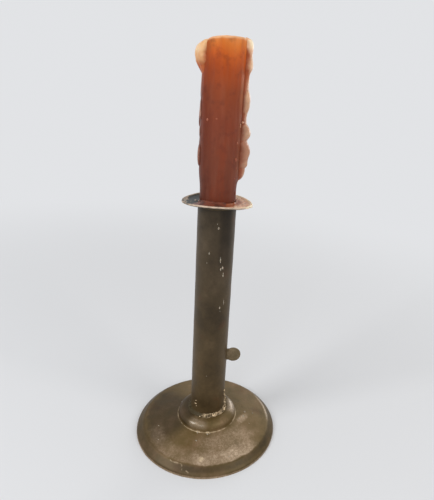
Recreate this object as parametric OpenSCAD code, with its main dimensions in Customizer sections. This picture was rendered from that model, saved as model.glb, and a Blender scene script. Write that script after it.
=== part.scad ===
// Hog scraper candlestick with its candle.
// Sheet-iron foot, rolled tube, drip pan and a sliding thumb ejector inside the tube.
// Millimetres, +Z up, origin on the floor under the middle of the foot, thumb tab towards +X.

/* [Foot] */
// Outside diameter of the foot at the floor
foot_d = 105.2; // [95:0.2:125]
// Thickness of the foot's sheet
foot_sheet = 1; // [0.7:0.1:1.4]
// Height of the foot's shoulder above the floor
shoulder_h = 6.1; // [5:0.1:10]
// How far the shoulder lies inside the foot's edge
skirt_in = 5; // [2:0.1:8]
// Height of the straight band at the foot's edge
edge_band = 1.6; // [1:0.1:2.5]
// Rounding of the foot's shoulder
shoulder_r = 3.4; // [2:0.1:4.5]
// Rise of the foot's top from the shoulder to the boss
top_rise = 4.2; // [1:0.1:6]
// Diameter of the boss at its foot
boss_d = 43.8; // [40:0.2:56]
// Height of the boss above the foot's top
boss_h = 6.7; // [6:0.1:12]
// Rounding of the boss's dome
boss_r = 5.6; // [3:0.1:5.8]
// How far the boss's side leans in towards its top
boss_lean = 1; // [0.4:0.1:2]
// Rounding of the crease round the boss
crease_r = 0.6; // [0.2:0.1:1.2]

/* [Tube] */
// Outside diameter of the tube
tube_d = 25; // [24.6:0.1:27]
// Thickness of the tube's sheet
tube_sheet = 0.8; // [0.6:0.05:1]
// Height of the tube's top above the floor
tube_top = 177.4; // [165:0.2:205]
// Width of the ring turned out under the boss
flare_w = 2.4; // [1.5:0.1:3]
// Width of the lap at the tube's seam
lap_w = 7; // [4:0.5:10]
// How far the hammered lap stands out of the tube
lap_t = 0.5; // [0.3:0.05:0.8]
// Width of the braze along the lap's edge
braze_w = 0.7; // [0.4:0.05:1]

/* [Drip pan] */
// Outside diameter of the drip pan
pan_d = 45.6; // [40:0.2:60]
// Thickness of the drip pan's sheet
pan_sheet = 0.9; // [0.6:0.05:1.2]
// Height of the pan's raised edge above its floor
pan_dish = 0.9; // [0.4:0.05:1.6]
// Width of the pan's raised edge
pan_edge_w = 2; // [1.2:0.1:3.5]
// How far the tube stands above the pan's floor
tube_proud = 0.5; // [0.2:0.05:1]
// Width and height of the solder under the pan
pan_solder_w = 1.8; // [1:0.1:3]
// Width of the solder on the boss
foot_solder_w = 2.2; // [1.2:0.1:2.6]
// Height of the solder on the boss
foot_solder_h = 2.3; // [1:0.1:3]
// Depth of the set wax on the pan
pan_wax_t = 0.7; // [0.3:0.05:0.9]

/* [Ejector] */
// Travel of the ejector from its lowest place to the tube's top
travel_h = 90; // [70:1:100]
// Height of the disc's top above the thumb tab's middle
disc_over_tab = 24.4; // [22:0.2:30]
// Diameter of the thumb tab's round end
tab_d = 11; // [9:0.2:15]
// Reach of the thumb tab from the tube's axis
tab_reach = 22.6; // [21:0.1:27]
// Height of the thumb tab's neck
neck_h = 9.2; // [8:0.1:10.5]
// Thickness of the thumb tab's sheet
tab_sheet = 1.2; // [0.8:0.05:1.5]
// Width of the thumb tab's foot on each side of the tab
tab_foot_w = 3.6; // [3.2:0.1:4]
// Height of the piston disc with its rim
piston_h = 5; // [3.5:0.1:7]
// Thickness of the piston disc's sheet
piston_sheet = 0.8; // [0.6:0.05:1]
// Width of the slide strip
strip_w = 8; // [6.8:0.1:8.4]
// Thickness of the slide strip
strip_sheet = 0.6; // [0.4:0.05:0.8]
// How far the slide strip bows out to rub on the tube
strip_bow = 1.4; // [0.8:0.05:1.5]
// Length of the slide strip below the thumb tab
strip_tail = 6; // [3:0.5:9]
// Radius of the slide strip's gentle bends
strip_bend_r = 3; // [1:0.5:5]
// Radius of the sharp bend under the disc
strip_corner_r = 0.8; // [0.4:0.1:1.5]
// Straight stretch of the slide strip at each end of its bow
strip_flat = 1.5; // [0.8:0.1:2.5]
// Shank diameter of the rivets
rivet_d = 1.7; // [1.3:0.1:2]
// Head diameter of the rivets
rivet_head_d = 2.8; // [2.3:0.1:3.1]
// Height of the rivet heads
rivet_head_h = 0.35; // [0.2:0.05:0.4]

/* [Candle] */
// Length of the candle
candle_len = 185; // [160:0.5:200]
// Diameter of the candle above the pan
candle_d = 25.2; // [23:0.1:28]
// Diameter of the candle's end in the tube
candle_end_d = 22.2; // [21:0.1:22.4]
// Height above the pan at which the thin end starts to widen
taper_start = 8; // [6:0.5:12]
// Height over which the candle widens
taper_h = 14; // [8:0.5:20]
// Chamfer round the candle's lower end
candle_chamfer = 0.8; // [0.4:0.1:1.5]
// Rounding of the candle's top edge
candle_round = 1.3; // [0.8:0.1:2]
// Depth of the melted hollow in the candle's top
hollow_depth = 6; // [4:0.5:10]
// Width of the wax rim round the hollow
hollow_rim = 1.6; // [1:0.1:3]
// Diameter of the wick
wick_d = 2; // [1.4:0.1:2.8]
// How far the wick stands out of the bottom of the hollow
wick_show = 4.5; // [3:0.5:5]
// How far the wick's burnt end leans over
wick_lean = 35; // [20:1:50]

/* [Wax runs] */
// Thickness of the wax at the edges of a run
wax_edge_t = 0.12; // [0.08:0.01:0.2]
// Height over which a run thins out at its lower end
run_fade_low = 12; // [6:0.5:18]
// Height over which a run thins out at its upper end
run_fade_high = 3; // [2:0.5:6]
// Thickness of the right-hand run between its drops
right_run_t = 2.7; // [1.5:0.1:4]
// Half of the angle that the right-hand run covers
right_run_half = 33; // [20:1:45]
// Thickness of the left-hand run between its drops
left_run_t = 0.7; // [0.4:0.1:1.5]
// Half of the angle that the left-hand run covers
left_run_half = 24; // [15:1:35]
// How far the wax lobe at the top stands out of the candle
lobe_t = 5; // [3:0.1:7]
// Half of the angle that the wax lobe covers
lobe_half = 35; // [25:1:45]
// Height of the wax lobe
lobe_h = 18.4; // [12:0.2:24]
// Distance from the candle's top down to the lobe
lobe_drop = 0.2; // [0.1:0.1:2]

/* [Clearances] */
// Gap between the tube and the holes it passes through
hole_gap = 0.1; // [0.05:0.05:0.2]
// Gap between the piston disc and the tube's bore
piston_gap = 0.35; // [0.25:0.05:0.5]
// Gap between the thumb tab and each side of its slot
slot_gap = 0.35; // [0.25:0.05:0.5]
// Gap between the neck and each end of the slot at the ends of travel
slot_end_gap = 0.3; // [0.2:0.05:0.5]
// Gap at the rivets, the candle's seat and the wick
touch_gap = 0.05; // [0.03:0.01:0.1]
// Gap between the wax runs and the candle
wax_gap = 0.05; // [0.03:0.01:0.08]

/* [Hidden] */
$fn = 96;

foot_r = foot_d/2;
tube_r = tube_d/2;
bore_r = tube_r - tube_sheet;
hole_r = tube_r + hole_gap;
boss_foot_z = shoulder_h + top_rise;
boss_top = boss_foot_z + boss_h;
boss_under = boss_top - foot_sheet;

pan_floor = tube_top - tube_proud;
pan_under = pan_floor - pan_sheet;

// The round edges and bends are drawn with this many straight steps
bend_steps = 8;
// The slot faces +X and the lapped seam lies at the back, towards +Y
seam_angle = 90;
lap_half = lap_w/2/tube_r*180/PI;

piston_r = bore_r - piston_gap;
piston_top = tube_top - travel_h;
piston_under = piston_top - piston_sheet;
slot_w = tab_sheet + 2*slot_gap;
tab_z = piston_top - disc_over_tab;
neck_low = tab_z - neck_h/2;
neck_high = tab_z + neck_h/2;

// Corner of a flat piece that just clears the bore
function bore_reach(half_width) = sqrt(pow(bore_r - piston_gap, 2) - pow(half_width, 2));
tab_foot_x = bore_reach(tab_sheet/2 + tab_foot_w) - tab_sheet - rivet_head_h/4;
strip_x = min(tab_foot_x, sqrt(pow(piston_r - piston_sheet, 2) - pow(strip_w/2, 2)) - slot_gap);
bow_x = min(strip_x + strip_bow, bore_reach(strip_w/2) + piston_gap/2);
rivet_y = tab_sheet/2 + tab_foot_w/2;
disc_rivet_x = strip_x/2 - rivet_head_d/2;

candle_bottom = piston_top + touch_gap;
candle_top = candle_bottom + candle_len;
candle_r = candle_d/2;
candle_end_r = candle_end_d/2;
shown_low = pan_floor + taper_start;
shown_h = candle_top - shown_low;
hollow_floor = candle_top - hollow_depth;

// Drops along each run, as shares: how far up the candle that shows, how much thicker than the
// run between its drops, and half of the drop's height against the candle that shows
right_drops = [
    [0.95, 0.35, 0.05], [0.85, 0.45, 0.04], [0.62, 0.35, 0.05],
    [0.40, 0.90, 0.045], [0.28, 1.10, 0.055], [0.19, 0.70, 0.05]
];
left_drops = [[0.53, 0.7, 0.045], [0.40, 0.3, 0.045], [0.26, 1.3, 0.07]];
// Lowest and highest point of each run, as a share of the part that shows
right_ends = [0.02, 1.007];
left_ends = [0.14, 0.785];
right_angle = 14;
left_angle = 176;
// A run wanders by this many degrees to each side, and this many times over the candle
sway_angle = 3;
sway_count = 2.5;
// The puddle on the pan starts and ends at these angles
pan_wax_from = -75;
pan_wax_to = 65;

// Colours as the photo shows them
iron = "#5b5140";
worn_iron = "#8d8068";
solder = "#a89b84";
wax = "#b0582f";
pale_wax = "#d9a878";
char_black = "#1d1815";

// Turn of a path at a corner, from the way in to the way out
function heading(a, b) = atan2(b[1] - a[1], b[0] - a[0]);
function half_turn(a, b) = let (t = b - a) (t > 180 ? t - 360 : t < -180 ? t + 360 : t);

// One corner of a path as an arc of the given radius, or as a plain point where the radius is 0
function corner_arc(p, q, s, radius) =
    let (
        way_in = heading(p, q),
        turn = half_turn(way_in, heading(q, s)),
        side = sign(turn),
        back = radius*tan(abs(turn)/2),
        start = q - back*[cos(way_in), sin(way_in)],
        centre = start + side*radius*[-sin(way_in), cos(way_in)]
    )
    radius == 0 ? [q] : [
        for (i = [0:bend_steps])
            let (a = way_in + turn*i/bend_steps)
            centre + side*radius*[sin(a), -cos(a)]
    ];

// A path of [x, y, radius] points with its corners rounded
function rounded(path) =
    let (last = len(path) - 1, at = [for (p = path) [p[0], p[1]]])
    [
        for (i = [0:last])
            each (i == 0 || i == last ? [at[i]] : corner_arc(at[i - 1], at[i], at[i + 1], path[i][2]))
    ];

// The same path moved sideways, to the right of its way, by a sheet's thickness
function moved(path, t) =
    let (last = len(path) - 1)
    [
        for (i = [0:last])
            let (
                a = heading(path[max(i - 1, 0)], path[i == 0 ? 1 : i]),
                b = heading(path[i == last ? i - 1 : i], path[min(i + 1, last)]),
                turn = half_turn(a, b),
                mean = a + turn/2,
                reach = t/cos(turn/2)
            )
            path[i] + reach*[sin(mean), -cos(mean)]
    ];

function reversed(list) = [for (i = [len(list) - 1:-1:0]) list[i]];

// Outline of a sheet of thickness t, bent along a path, which it lies to the right of
function sheet_outline(path, t) = concat(path, reversed(moved(path, t)));

// Outline of a solder fillet in the corner at [r, z]: w wide, and h high, downwards where h is negative
function fillet_outline(r, z, w, h) = concat(
    [[r, z]],
    [for (i = [0:bend_steps]) let (a = 90*i/bend_steps) [r + w*(1 - sin(a)), z + h*(1 - cos(a))]]
);

// Smooth rise from 0 to 1
function ease(t) = (1 - cos(180*min(max(t, 0), 1)))/2;

// Radius of the bare candle at a height, its top rounding left out
function candle_radius(z) = candle_end_r + (candle_r - candle_end_r)*ease((z - shown_low)/taper_h);

// Height of a point that lies a share of the way up the part of the candle that shows
function shown_z(share) = shown_low + share*shown_h;

// Thickness of a run of wax at a height, from its drops
function run_thickness(z, base, drops, low, high) =
    let (
        drop = max([for (d = drops) d[1]*exp(-2*pow((z - shown_z(d[0]))/(d[2]*shown_h), 2))]),
        fade_in = min(1, max(0, z - low)/run_fade_low),
        fade_out = min(1, max(0, high - z)/run_fade_high)
    )
    base*(1 + drop)*sqrt(fade_in*fade_out);

// A skin of wax on the candle's side, as thick as the function thick(z) at its middle
module wax_skin(angle, half_angle, low, high, thick, across = 10, up = 18) {
    rows = [for (j = [0:up]) low + (high - low)*j/up];
    turns = [for (i = [0:across]) -1 + 2*i/across];
    function point(u, z, extra) =
        let (
            r = candle_radius(z) + wax_gap + extra,
            sway = sway_angle*sin(360*sway_count*(z - shown_low)/shown_h),
            a = angle + sway + u*half_angle
        )
        [r*cos(a), r*sin(a), z];
    function edge(u) = sqrt(max(0, 1 - u*u));
    n = across + 1;
    count = n*(up + 1);
    outer = [for (z = rows) for (u = turns) point(u, z, wax_edge_t + thick(z)*edge(u))];
    inner = [for (z = rows) for (u = turns) point(u, z, 0)];
    function grid(a, b, c, d) = [[a, b, c], [a, c, d]];
    faces = [
        for (j = [0:up - 1], i = [0:across - 1])
            let (p = j*n + i)
            each concat(
                grid(p, p + n, p + n + 1, p + 1),
                grid(count + p, count + p + 1, count + p + n + 1, count + p + n)
            ),
        for (i = [0:across - 1])
            let (p = up*n + i)
            each concat(
                grid(i, i + 1, count + i + 1, count + i),
                grid(p, count + p, count + p + 1, p + 1)
            ),
        for (j = [0:up - 1])
            let (p = j*n, q = j*n + across)
            each concat(
                grid(p, count + p, count + p + n, p + n),
                grid(q, q + n, count + q + n, count + q)
            )
    ];
    polyhedron(concat(outer, inner), faces);
}

// Rivet along +X, with a head at each end of the sheets that it holds
module rivet(grip) {
    head_r = rivet_head_d/2;
    rotate([0, 90, 0])
        rotate_extrude()
            polygon([
                [0, -rivet_head_h], [head_r, -rivet_head_h], [head_r, 0], [rivet_d/2, 0],
                [rivet_d/2, grip], [head_r, grip], [head_r, grip + rivet_head_h], [0, grip + rivet_head_h]
            ]);
}

// The two rivets lie one above and one below the tab's middle, on opposite sides of it
module at_tab_rivets() {
    for (side = [-1, 1])
        translate([strip_x - strip_sheet, side*rivet_y, tab_z + side*neck_h/4])
            children();
}

module base_plate() {
    path = rounded([
        [hole_r, boss_top, 0],
        [boss_d/2 - boss_lean, boss_top, boss_r],
        [boss_d/2, boss_foot_z, crease_r],
        [foot_r - skirt_in, shoulder_h, shoulder_r],
        [foot_r, edge_band, edge_band*2],
        [foot_r, 0, 0]
    ]);
    color(iron)
        rotate_extrude()
            polygon(sheet_outline(path, foot_sheet));
}

module shaft() {
    flare_z = boss_under - tube_sheet;
    slot_low = neck_low - slot_end_gap;
    slot_high = neck_high + travel_h + slot_end_gap;
    lap_low = boss_top + foot_solder_h;
    lap_high = pan_under - pan_solder_w;
    color(iron)
        difference() {
            union() {
                rotate_extrude()
                    union() {
                        translate([bore_r, flare_z])
                            square([tube_sheet, tube_top - flare_z]);
                        translate([bore_r, flare_z])
                            square([tube_sheet + flare_w, tube_sheet]);
                    }
                rotate([0, 0, seam_angle - lap_half])
                    rotate_extrude(angle = 2*lap_half)
                        translate([tube_r - tube_sheet/2, lap_low])
                            square([tube_sheet/2 + lap_t, lap_high - lap_low]);
            }
            translate([0, -slot_w/2, slot_low])
                cube([tube_d, slot_w, slot_high - slot_low]);
        }
}

// The raised edge leans outwards, so the sheet's lower corner is the widest point
module drip_pan() {
    lean = atan2(pan_dish, pan_edge_w);
    lip_r = pan_d/2 - pan_sheet*sin(lean);
    path = rounded([
        [hole_r, pan_floor, 0],
        [lip_r - pan_edge_w, pan_floor, pan_edge_w/2],
        [lip_r, pan_floor + pan_dish, 0]
    ]);
    color(worn_iron)
        rotate_extrude()
            polygon(sheet_outline(path, pan_sheet));
}

module foot_solder() {
    color(solder)
        rotate_extrude()
            polygon(fillet_outline(tube_r, boss_top, foot_solder_w, foot_solder_h));
}

module pan_solder() {
    color(solder)
        rotate_extrude()
            polygon(fillet_outline(tube_r, pan_under, pan_solder_w, -pan_solder_w));
}

// The braze lies along the lap's edge that faces -X
module seam_braze() {
    low = boss_top + foot_solder_h;
    high = pan_under - pan_solder_w;
    braze_angle = braze_w/tube_r*180/PI;
    color(solder)
        rotate([0, 0, seam_angle + lap_half])
            rotate_extrude(angle = braze_angle)
                translate([tube_r, low])
                    square([lap_t*0.8, high - low]);
}

// Puddle of set wax over the pan's right-hand side
module pan_wax() {
    low_r = tube_r + hole_gap;
    high_r = pan_d/2 - pan_edge_w - pan_edge_w/2;
    color(pale_wax)
        rotate([0, 0, pan_wax_from])
            rotate_extrude(angle = pan_wax_to - pan_wax_from)
                polygon(concat(
                    [[low_r, pan_floor]],
                    [
                        for (i = [0:bend_steps])
                            let (a = 180*i/bend_steps)
                            [low_r + (high_r - low_r)*i/bend_steps, pan_floor + pan_wax_t*(0.25 + 0.75*sin(a))]
                    ],
                    [[high_r, pan_floor]]
                ));
}

// Shallow cup, open downwards, with a countersunk hole for its rivet
module piston_disc() {
    path = rounded([
        [0, piston_top, 0],
        [piston_r, piston_top, piston_sheet],
        [piston_r, piston_top - piston_h, 0]
    ]);
    color(worn_iron)
        difference() {
            rotate_extrude()
                polygon(sheet_outline(path, piston_sheet));
            translate([disc_rivet_x, 0, 0])
                disc_rivet_form(touch_gap);
        }
}

// Rivet with a flush head on top of the disc, grown by a gap to cut its hole
module disc_rivet_form(gap) {
    shank_r = rivet_d/2 + gap;
    head_r = rivet_head_d/2 + gap;
    sink = piston_sheet*0.6;
    low = piston_under - strip_sheet - rivet_head_h;
    rotate_extrude()
        polygon([
            [0, low], [shank_r, low], [shank_r, piston_top - sink],
            [head_r, piston_top - touch_gap + gap], [0, piston_top - touch_gap + gap]
        ]);
}

// Spring strip: its top foot lies under the disc, and its bow rubs on the tube
module slide_strip() {
    bow_low = neck_high + strip_flat;
    bow_high = piston_top - piston_h - strip_flat;
    bow_mid = (bow_low + bow_high)/2;
    path = rounded([
        [0, piston_under - strip_sheet, 0],
        [strip_x - strip_sheet, piston_under - strip_sheet, strip_corner_r],
        [strip_x - strip_sheet, bow_high, strip_bend_r],
        [bow_x - strip_sheet, bow_mid, strip_bend_r],
        [strip_x - strip_sheet, bow_low, strip_bend_r],
        [strip_x - strip_sheet, neck_low - strip_tail, 0]
    ]);
    color(worn_iron)
        difference() {
            rotate([90, 0, 0])
                linear_extrude(strip_w, center = true)
                    polygon(sheet_outline(path, -strip_sheet));
            translate([disc_rivet_x, 0, piston_under - strip_sheet*1.5])
                cylinder(h = strip_sheet*2, d = rivet_d + 2*touch_gap);
            at_tab_rivets()
                rotate([0, 90, 0])
                    translate([0, 0, -strip_sheet/2])
                        cylinder(h = strip_sheet*2, d = rivet_d + 2*touch_gap);
        }
}

// Round tab on a neck that passes through the slot; its root is split into two feet, bent each way
module thumb_tab() {
    tab_x = tab_reach - tab_d/2;
    color(iron)
        difference() {
            union() {
                rotate([90, 0, 0])
                    linear_extrude(tab_sheet, center = true)
                        union() {
                            translate([tab_x, tab_z])
                                circle(d = tab_d);
                            translate([strip_x, neck_low])
                                square([tab_x - strip_x, neck_h]);
                        }
                for (side = [-1, 1])
                    translate([strip_x, side < 0 ? -tab_sheet/2 - tab_foot_w : 0, side < 0 ? neck_low : tab_z])
                        cube([tab_sheet, tab_sheet/2 + tab_foot_w, neck_h/2]);
            }
            at_tab_rivets()
                rotate([0, 90, 0])
                    translate([0, 0, strip_sheet/2])
                        cylinder(h = tab_sheet*2, d = rivet_d + 2*touch_gap);
        }
}

module tab_rivets() {
    color(worn_iron)
        at_tab_rivets()
            rivet(strip_sheet + tab_sheet);
}

module disc_rivet() {
    color(worn_iron)
        translate([disc_rivet_x, 0, 0])
            union() {
                disc_rivet_form(0);
                translate([0, 0, piston_under - strip_sheet - rivet_head_h])
                    cylinder(h = rivet_head_h, d = rivet_head_d);
            }
}

module candle() {
    side = concat(
        [
            [candle_end_r - candle_chamfer, candle_bottom],
            [candle_end_r, candle_bottom + candle_chamfer],
            [candle_end_r, shown_low]
        ],
        [for (i = [1:bend_steps]) let (z = shown_low + taper_h*i/bend_steps) [candle_radius(z), z]],
        [
            for (i = [0:bend_steps])
                let (a = 90*i/bend_steps)
                [candle_r - candle_round*(1 - cos(a)), candle_top - candle_round*(1 - sin(a))]
        ]
    );
    hollow_r = candle_r - candle_round - hollow_rim;
    wick_hole = wick_d/2 + touch_gap;
    hollow = [
        for (i = [0:bend_steps])
            let (a = 90*i/bend_steps)
            [wick_hole + (hollow_r - wick_hole)*cos(a), candle_top - hollow_depth*sin(a)]
    ];
    color(wax)
        rotate_extrude()
            polygon(concat([[wick_hole, candle_bottom]], side, hollow));
}

// Wick through the whole candle, with its burnt end leaning over below the candle's rim
module wick() {
    bend_z = hollow_floor + wick_show/2;
    color(char_black)
        union() {
            translate([0, 0, candle_bottom])
                cylinder(h = bend_z - candle_bottom, d = wick_d);
            translate([0, 0, bend_z])
                rotate([0, wick_lean, 0])
                    translate([0, 0, -wick_d/2])
                        cylinder(h = wick_show/2 + wick_d/2, d = wick_d*0.96);
        }
}

// Run of drops on the right, thin run on the left, and the lobe at the top left
module wax_runs() {
    right_low = shown_z(right_ends[0]);
    right_high = shown_z(right_ends[1]);
    left_low = shown_z(left_ends[0]);
    left_high = shown_z(left_ends[1]);
    lobe_low = candle_top - lobe_h - lobe_drop;
    lobe_mid = lobe_low + lobe_h/2;
    color(pale_wax)
        union() {
            wax_skin(right_angle, right_run_half, right_low, right_high,
                function (z) run_thickness(z, right_run_t, right_drops, right_low, right_high),
                up = 52);
            wax_skin(left_angle, left_run_half, left_low, left_high,
                function (z) run_thickness(z, left_run_t, left_drops, left_low, left_high),
                up = 28);
            wax_skin(left_angle, lobe_half, lobe_low, lobe_low + lobe_h,
                function (z) lobe_t*sqrt(max(0, 1 - pow((z - lobe_mid)/(lobe_h/2), 2))),
                up = 18);
        }
}

base_plate();
shaft();
drip_pan();
foot_solder();
pan_solder();
seam_braze();
pan_wax();
piston_disc();
slide_strip();
thumb_tab();
tab_rivets();
disc_rivet();
candle();
wick();
wax_runs();
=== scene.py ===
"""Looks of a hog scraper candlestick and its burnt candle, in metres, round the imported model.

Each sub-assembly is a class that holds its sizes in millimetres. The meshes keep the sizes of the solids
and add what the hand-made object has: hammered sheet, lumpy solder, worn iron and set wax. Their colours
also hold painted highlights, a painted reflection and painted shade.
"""

from __future__ import annotations

import logging
import math
from collections.abc import Callable, Sequence
from dataclasses import dataclass, field
from enum import Enum

import bmesh
import bpy
import numpy as np
from mathutils import Matrix, Vector, noise

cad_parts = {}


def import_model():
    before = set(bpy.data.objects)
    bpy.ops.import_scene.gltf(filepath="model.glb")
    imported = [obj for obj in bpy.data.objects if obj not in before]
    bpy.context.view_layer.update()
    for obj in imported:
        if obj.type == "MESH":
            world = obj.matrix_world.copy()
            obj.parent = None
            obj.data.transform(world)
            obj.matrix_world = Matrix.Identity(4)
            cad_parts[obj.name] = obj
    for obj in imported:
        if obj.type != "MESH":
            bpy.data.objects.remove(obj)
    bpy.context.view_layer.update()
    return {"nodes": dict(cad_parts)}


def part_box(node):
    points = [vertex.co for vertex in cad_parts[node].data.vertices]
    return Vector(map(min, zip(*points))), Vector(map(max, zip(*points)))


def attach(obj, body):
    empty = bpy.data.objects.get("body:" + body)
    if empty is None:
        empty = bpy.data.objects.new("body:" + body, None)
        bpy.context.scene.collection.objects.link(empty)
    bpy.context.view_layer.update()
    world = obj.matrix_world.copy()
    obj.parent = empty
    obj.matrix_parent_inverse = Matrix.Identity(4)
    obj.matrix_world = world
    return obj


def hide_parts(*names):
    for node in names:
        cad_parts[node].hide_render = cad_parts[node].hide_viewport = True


MM = 0.001
LOG = logging.getLogger("candlestick")
Colour = tuple[float, float, float, float]
Socket = bpy.types.NodeSocket
Input = Socket | float | int | str | tuple


class Body(Enum):
    """The bodies that move on their own."""

    STICK = "stick"
    EJECTOR = "ejector"
    CANDLE = "candle"


class Slot(Enum):
    """The record's material slots."""

    DARK_IRON = "dark_iron"
    WORN_IRON = "worn_iron"
    SOLDER = "solder"
    CANDLE_WAX = "candle_wax"
    PALE_WAX = "pale_wax"
    WICK = "wick"


def tone(red: float, green: float, blue: float) -> Colour:
    """Turns a colour as a screen shows it into the linear colour that a shader takes.

    Args:
        red: Red, 0 to 255.
        green: Green, 0 to 255.
        blue: Blue, 0 to 255.

    Returns:
        The linear colour, fully opaque.
    """

    def linear(value: float) -> float:
        """Takes the screen's gamma off one value."""
        part = value / 255
        return part / 12.92 if part <= 0.04045 else ((part + 0.055) / 1.055) ** 2.4

    return (linear(red), linear(green), linear(blue), 1.0)


def low_of(node: str, axis: int = 2) -> float:
    """Lowest place of a CAD node along an axis, in millimetres."""
    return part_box(node)[0][axis] / MM


def high_of(node: str, axis: int = 2) -> float:
    """Highest place of a CAD node along an axis, in millimetres."""
    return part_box(node)[1][axis] / MM


def from_frame(reader: Callable[[str, int], float], node: str, axis: int = 2) -> float:
    """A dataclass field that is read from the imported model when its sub-assembly is made."""
    return field(default_factory=lambda: reader(node, axis))


def ease(part: np.ndarray | float) -> np.ndarray | float:
    """Rises smoothly from 0 to 1 as the part does, and stays level outside."""
    held = np.clip(part, 0, 1)
    return held * held * (3 - 2 * held)


def band(value: np.ndarray | float, middle: float, half: float, soft: float) -> np.ndarray | float:
    """How far a value lies inside a band.

    Args:
        value: The values to test.
        middle: Middle of the band.
        half: Half of the band's width.
        soft: Width over which the band fades at each edge.

    Returns:
        1 inside the band, 0 outside, and between them at its edges.
    """
    return 1 - ease((np.abs(value - middle) - half) / soft)


def grain(points: np.ndarray, size: float, seed: int = 0, stretch: float = 1.0) -> np.ndarray:
    """Smooth random values at points in space, the same on every run.

    Args:
        points: Points in millimetres, one a row.
        size: Size of the grain in millimetres.
        seed: Picks another pattern.
        stretch: How many times longer the grain is upwards.

    Returns:
        One value for each point, about -1 to 1.
    """
    scaled = points / (size, size, size * stretch) + (seed * 17.3, seed * 5.1, seed * 9.7)
    return np.array([noise.noise(Vector(p)) for p in scaled.reshape(-1, 3)]).reshape(points.shape[:-1])


def polar(radius: np.ndarray | float, degrees: np.ndarray | float, height: np.ndarray | float) -> np.ndarray:
    """Points at a radius, angle and height round the upright axis, with 0 degrees towards +X."""
    turn = np.radians(degrees)
    parts = np.broadcast_arrays(radius * np.cos(turn), radius * np.sin(turn), height)
    return np.stack(parts, -1).astype(float)


def angle_from(degrees: np.ndarray, start: float) -> np.ndarray:
    """Angles measured from a start, between -180 and 180 degrees."""
    return (degrees - start + 180) % 360 - 180


def rounded_path(corners: Sequence[tuple[float, float, float]], steps: int = 8) -> list[Vector]:
    """A path with its corners turned into arcs.

    Args:
        corners: Radius from the axis, height, and rounding of each corner, in millimetres.
        steps: Straight steps in each arc.

    Returns:
        The points of the path.
    """
    at = [Vector(c[:2]) for c in corners]
    path = [at[0]]
    for before, corner, after, radius in zip(at, at[1:], at[2:], [c[2] for c in corners[1:]]):
        way_in, way_out = (corner - before).normalized(), (after - corner).normalized()
        turn = way_in.angle_signed(way_out)
        if radius == 0 or abs(turn) < 1e-4:
            path.append(corner)
            continue
        back = radius * math.tan(abs(turn) / 2)
        start, end = corner - back * way_in, corner + back * way_out
        across = Vector((-way_in.y, way_in.x))
        middle = start + radius * across * (1 if across.dot(way_out) > 0 else -1)
        first, last = start - middle, end - middle
        whole = first.angle_signed(last)
        for step in range(steps + 1):
            path.append(middle + Matrix.Rotation(-whole * step / steps, 2) @ first)
    path.append(at[-1])
    return path


def spaced(path: Sequence[Vector], spacing: float) -> list[Vector]:
    """Adds points along a path so that no two lie further apart than the spacing."""
    points = [path[0]]
    for start, end in zip(path, path[1:]):
        count = max(1, math.ceil((end - start).length / spacing))
        points += [start.lerp(end, (i + 1) / count) for i in range(count)]
    return points


def beside(path: Sequence[Vector], thickness: float) -> list[Vector]:
    """The path moved to the right of its way by a sheet's thickness."""
    moved = []
    for i, point in enumerate(path):
        before, after = path[max(i - 1, 0)], path[min(i + 1, len(path) - 1)]
        way = (after - before).normalized()
        moved.append(point + thickness * Vector((way.y, -way.x)))
    return moved


def new_object(name: str, mesh: bpy.types.Mesh) -> bpy.types.Object:
    """Puts a mesh in the scene as an object at the origin."""
    piece = bpy.data.objects.new(name, mesh)
    bpy.context.scene.collection.objects.link(piece)
    return piece


def mesh_piece(name: str, points: np.ndarray, faces: Sequence[Sequence[int]]) -> bpy.types.Object:
    """Makes a smooth-shaded piece from points and faces.

    Args:
        name: The piece's name.
        points: Points in millimetres, one a row.
        faces: Each face as the indices of its points.

    Returns:
        The piece, with unused points left out and its faces turned outwards.
    """
    mesh = bpy.data.meshes.new(name)
    mesh.from_pydata((np.asarray(points).reshape(-1, 3) * MM).tolist(), [], [list(f) for f in faces])
    work = bmesh.new()
    work.from_mesh(mesh)
    bmesh.ops.delete(work, geom=[v for v in work.verts if not v.link_faces], context="VERTS")
    bmesh.ops.recalc_face_normals(work, faces=work.faces)
    for face in work.faces:
        face.smooth = True
    work.to_mesh(mesh)
    work.free()
    return new_object(name, mesh)


def line_piece(name: str, points: Sequence[Sequence[float]], closed: bool = False) -> bpy.types.Object:
    """Makes a line of points in millimetres, for a Geometry Nodes tree to follow."""
    mesh = bpy.data.meshes.new(name)
    count = len(points)
    edges = [(i, (i + 1) % count) for i in range(count if closed else count - 1)]
    mesh.from_pydata((np.asarray(points, float) * MM).tolist(), edges, [])
    return new_object(name, mesh)


def shell(
    name: str, outer: np.ndarray, inner: np.ndarray, closed: bool, cut: np.ndarray | None = None
) -> bpy.types.Object:
    """Makes a closed wall between two grids of points.

    Args:
        name: The piece's name.
        outer: Outer points in millimetres, by row and column.
        inner: Inner points, as many.
        closed: Whether the last column joins the first.
        cut: True for each cell that is cut out of the wall.

    Returns:
        The piece.
    """
    rows, columns = outer.shape[:2]
    wide = columns if closed else columns - 1
    kept = np.ones((rows - 1, wide), bool) if cut is None else ~cut
    index = np.arange(rows * columns).reshape(rows, columns)
    back = rows * columns
    faces = []

    def is_kept(row: int, column: int) -> bool:
        """Whether the wall goes on in a cell."""
        if closed:
            column %= wide
        return 0 <= row < rows - 1 and 0 <= column < wide and bool(kept[row, column])

    for row, column in zip(*np.nonzero(kept)):
        following = (column + 1) % columns
        a, b = index[row, column], index[row, following]
        c, d = index[row + 1, following], index[row + 1, column]
        faces += [(a, b, c, d), (back + d, back + c, back + b, back + a)]
        for start, end, beyond in (
            (a, b, (row - 1, column)), (b, c, (row, column + 1)),
            (c, d, (row + 1, column)), (d, a, (row, column - 1)),
        ):
            if not is_kept(*beyond):
                faces.append((end, start, back + start, back + end))
    return mesh_piece(name, np.concatenate([outer.reshape(-1, 3), inner.reshape(-1, 3)]), faces)


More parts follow.
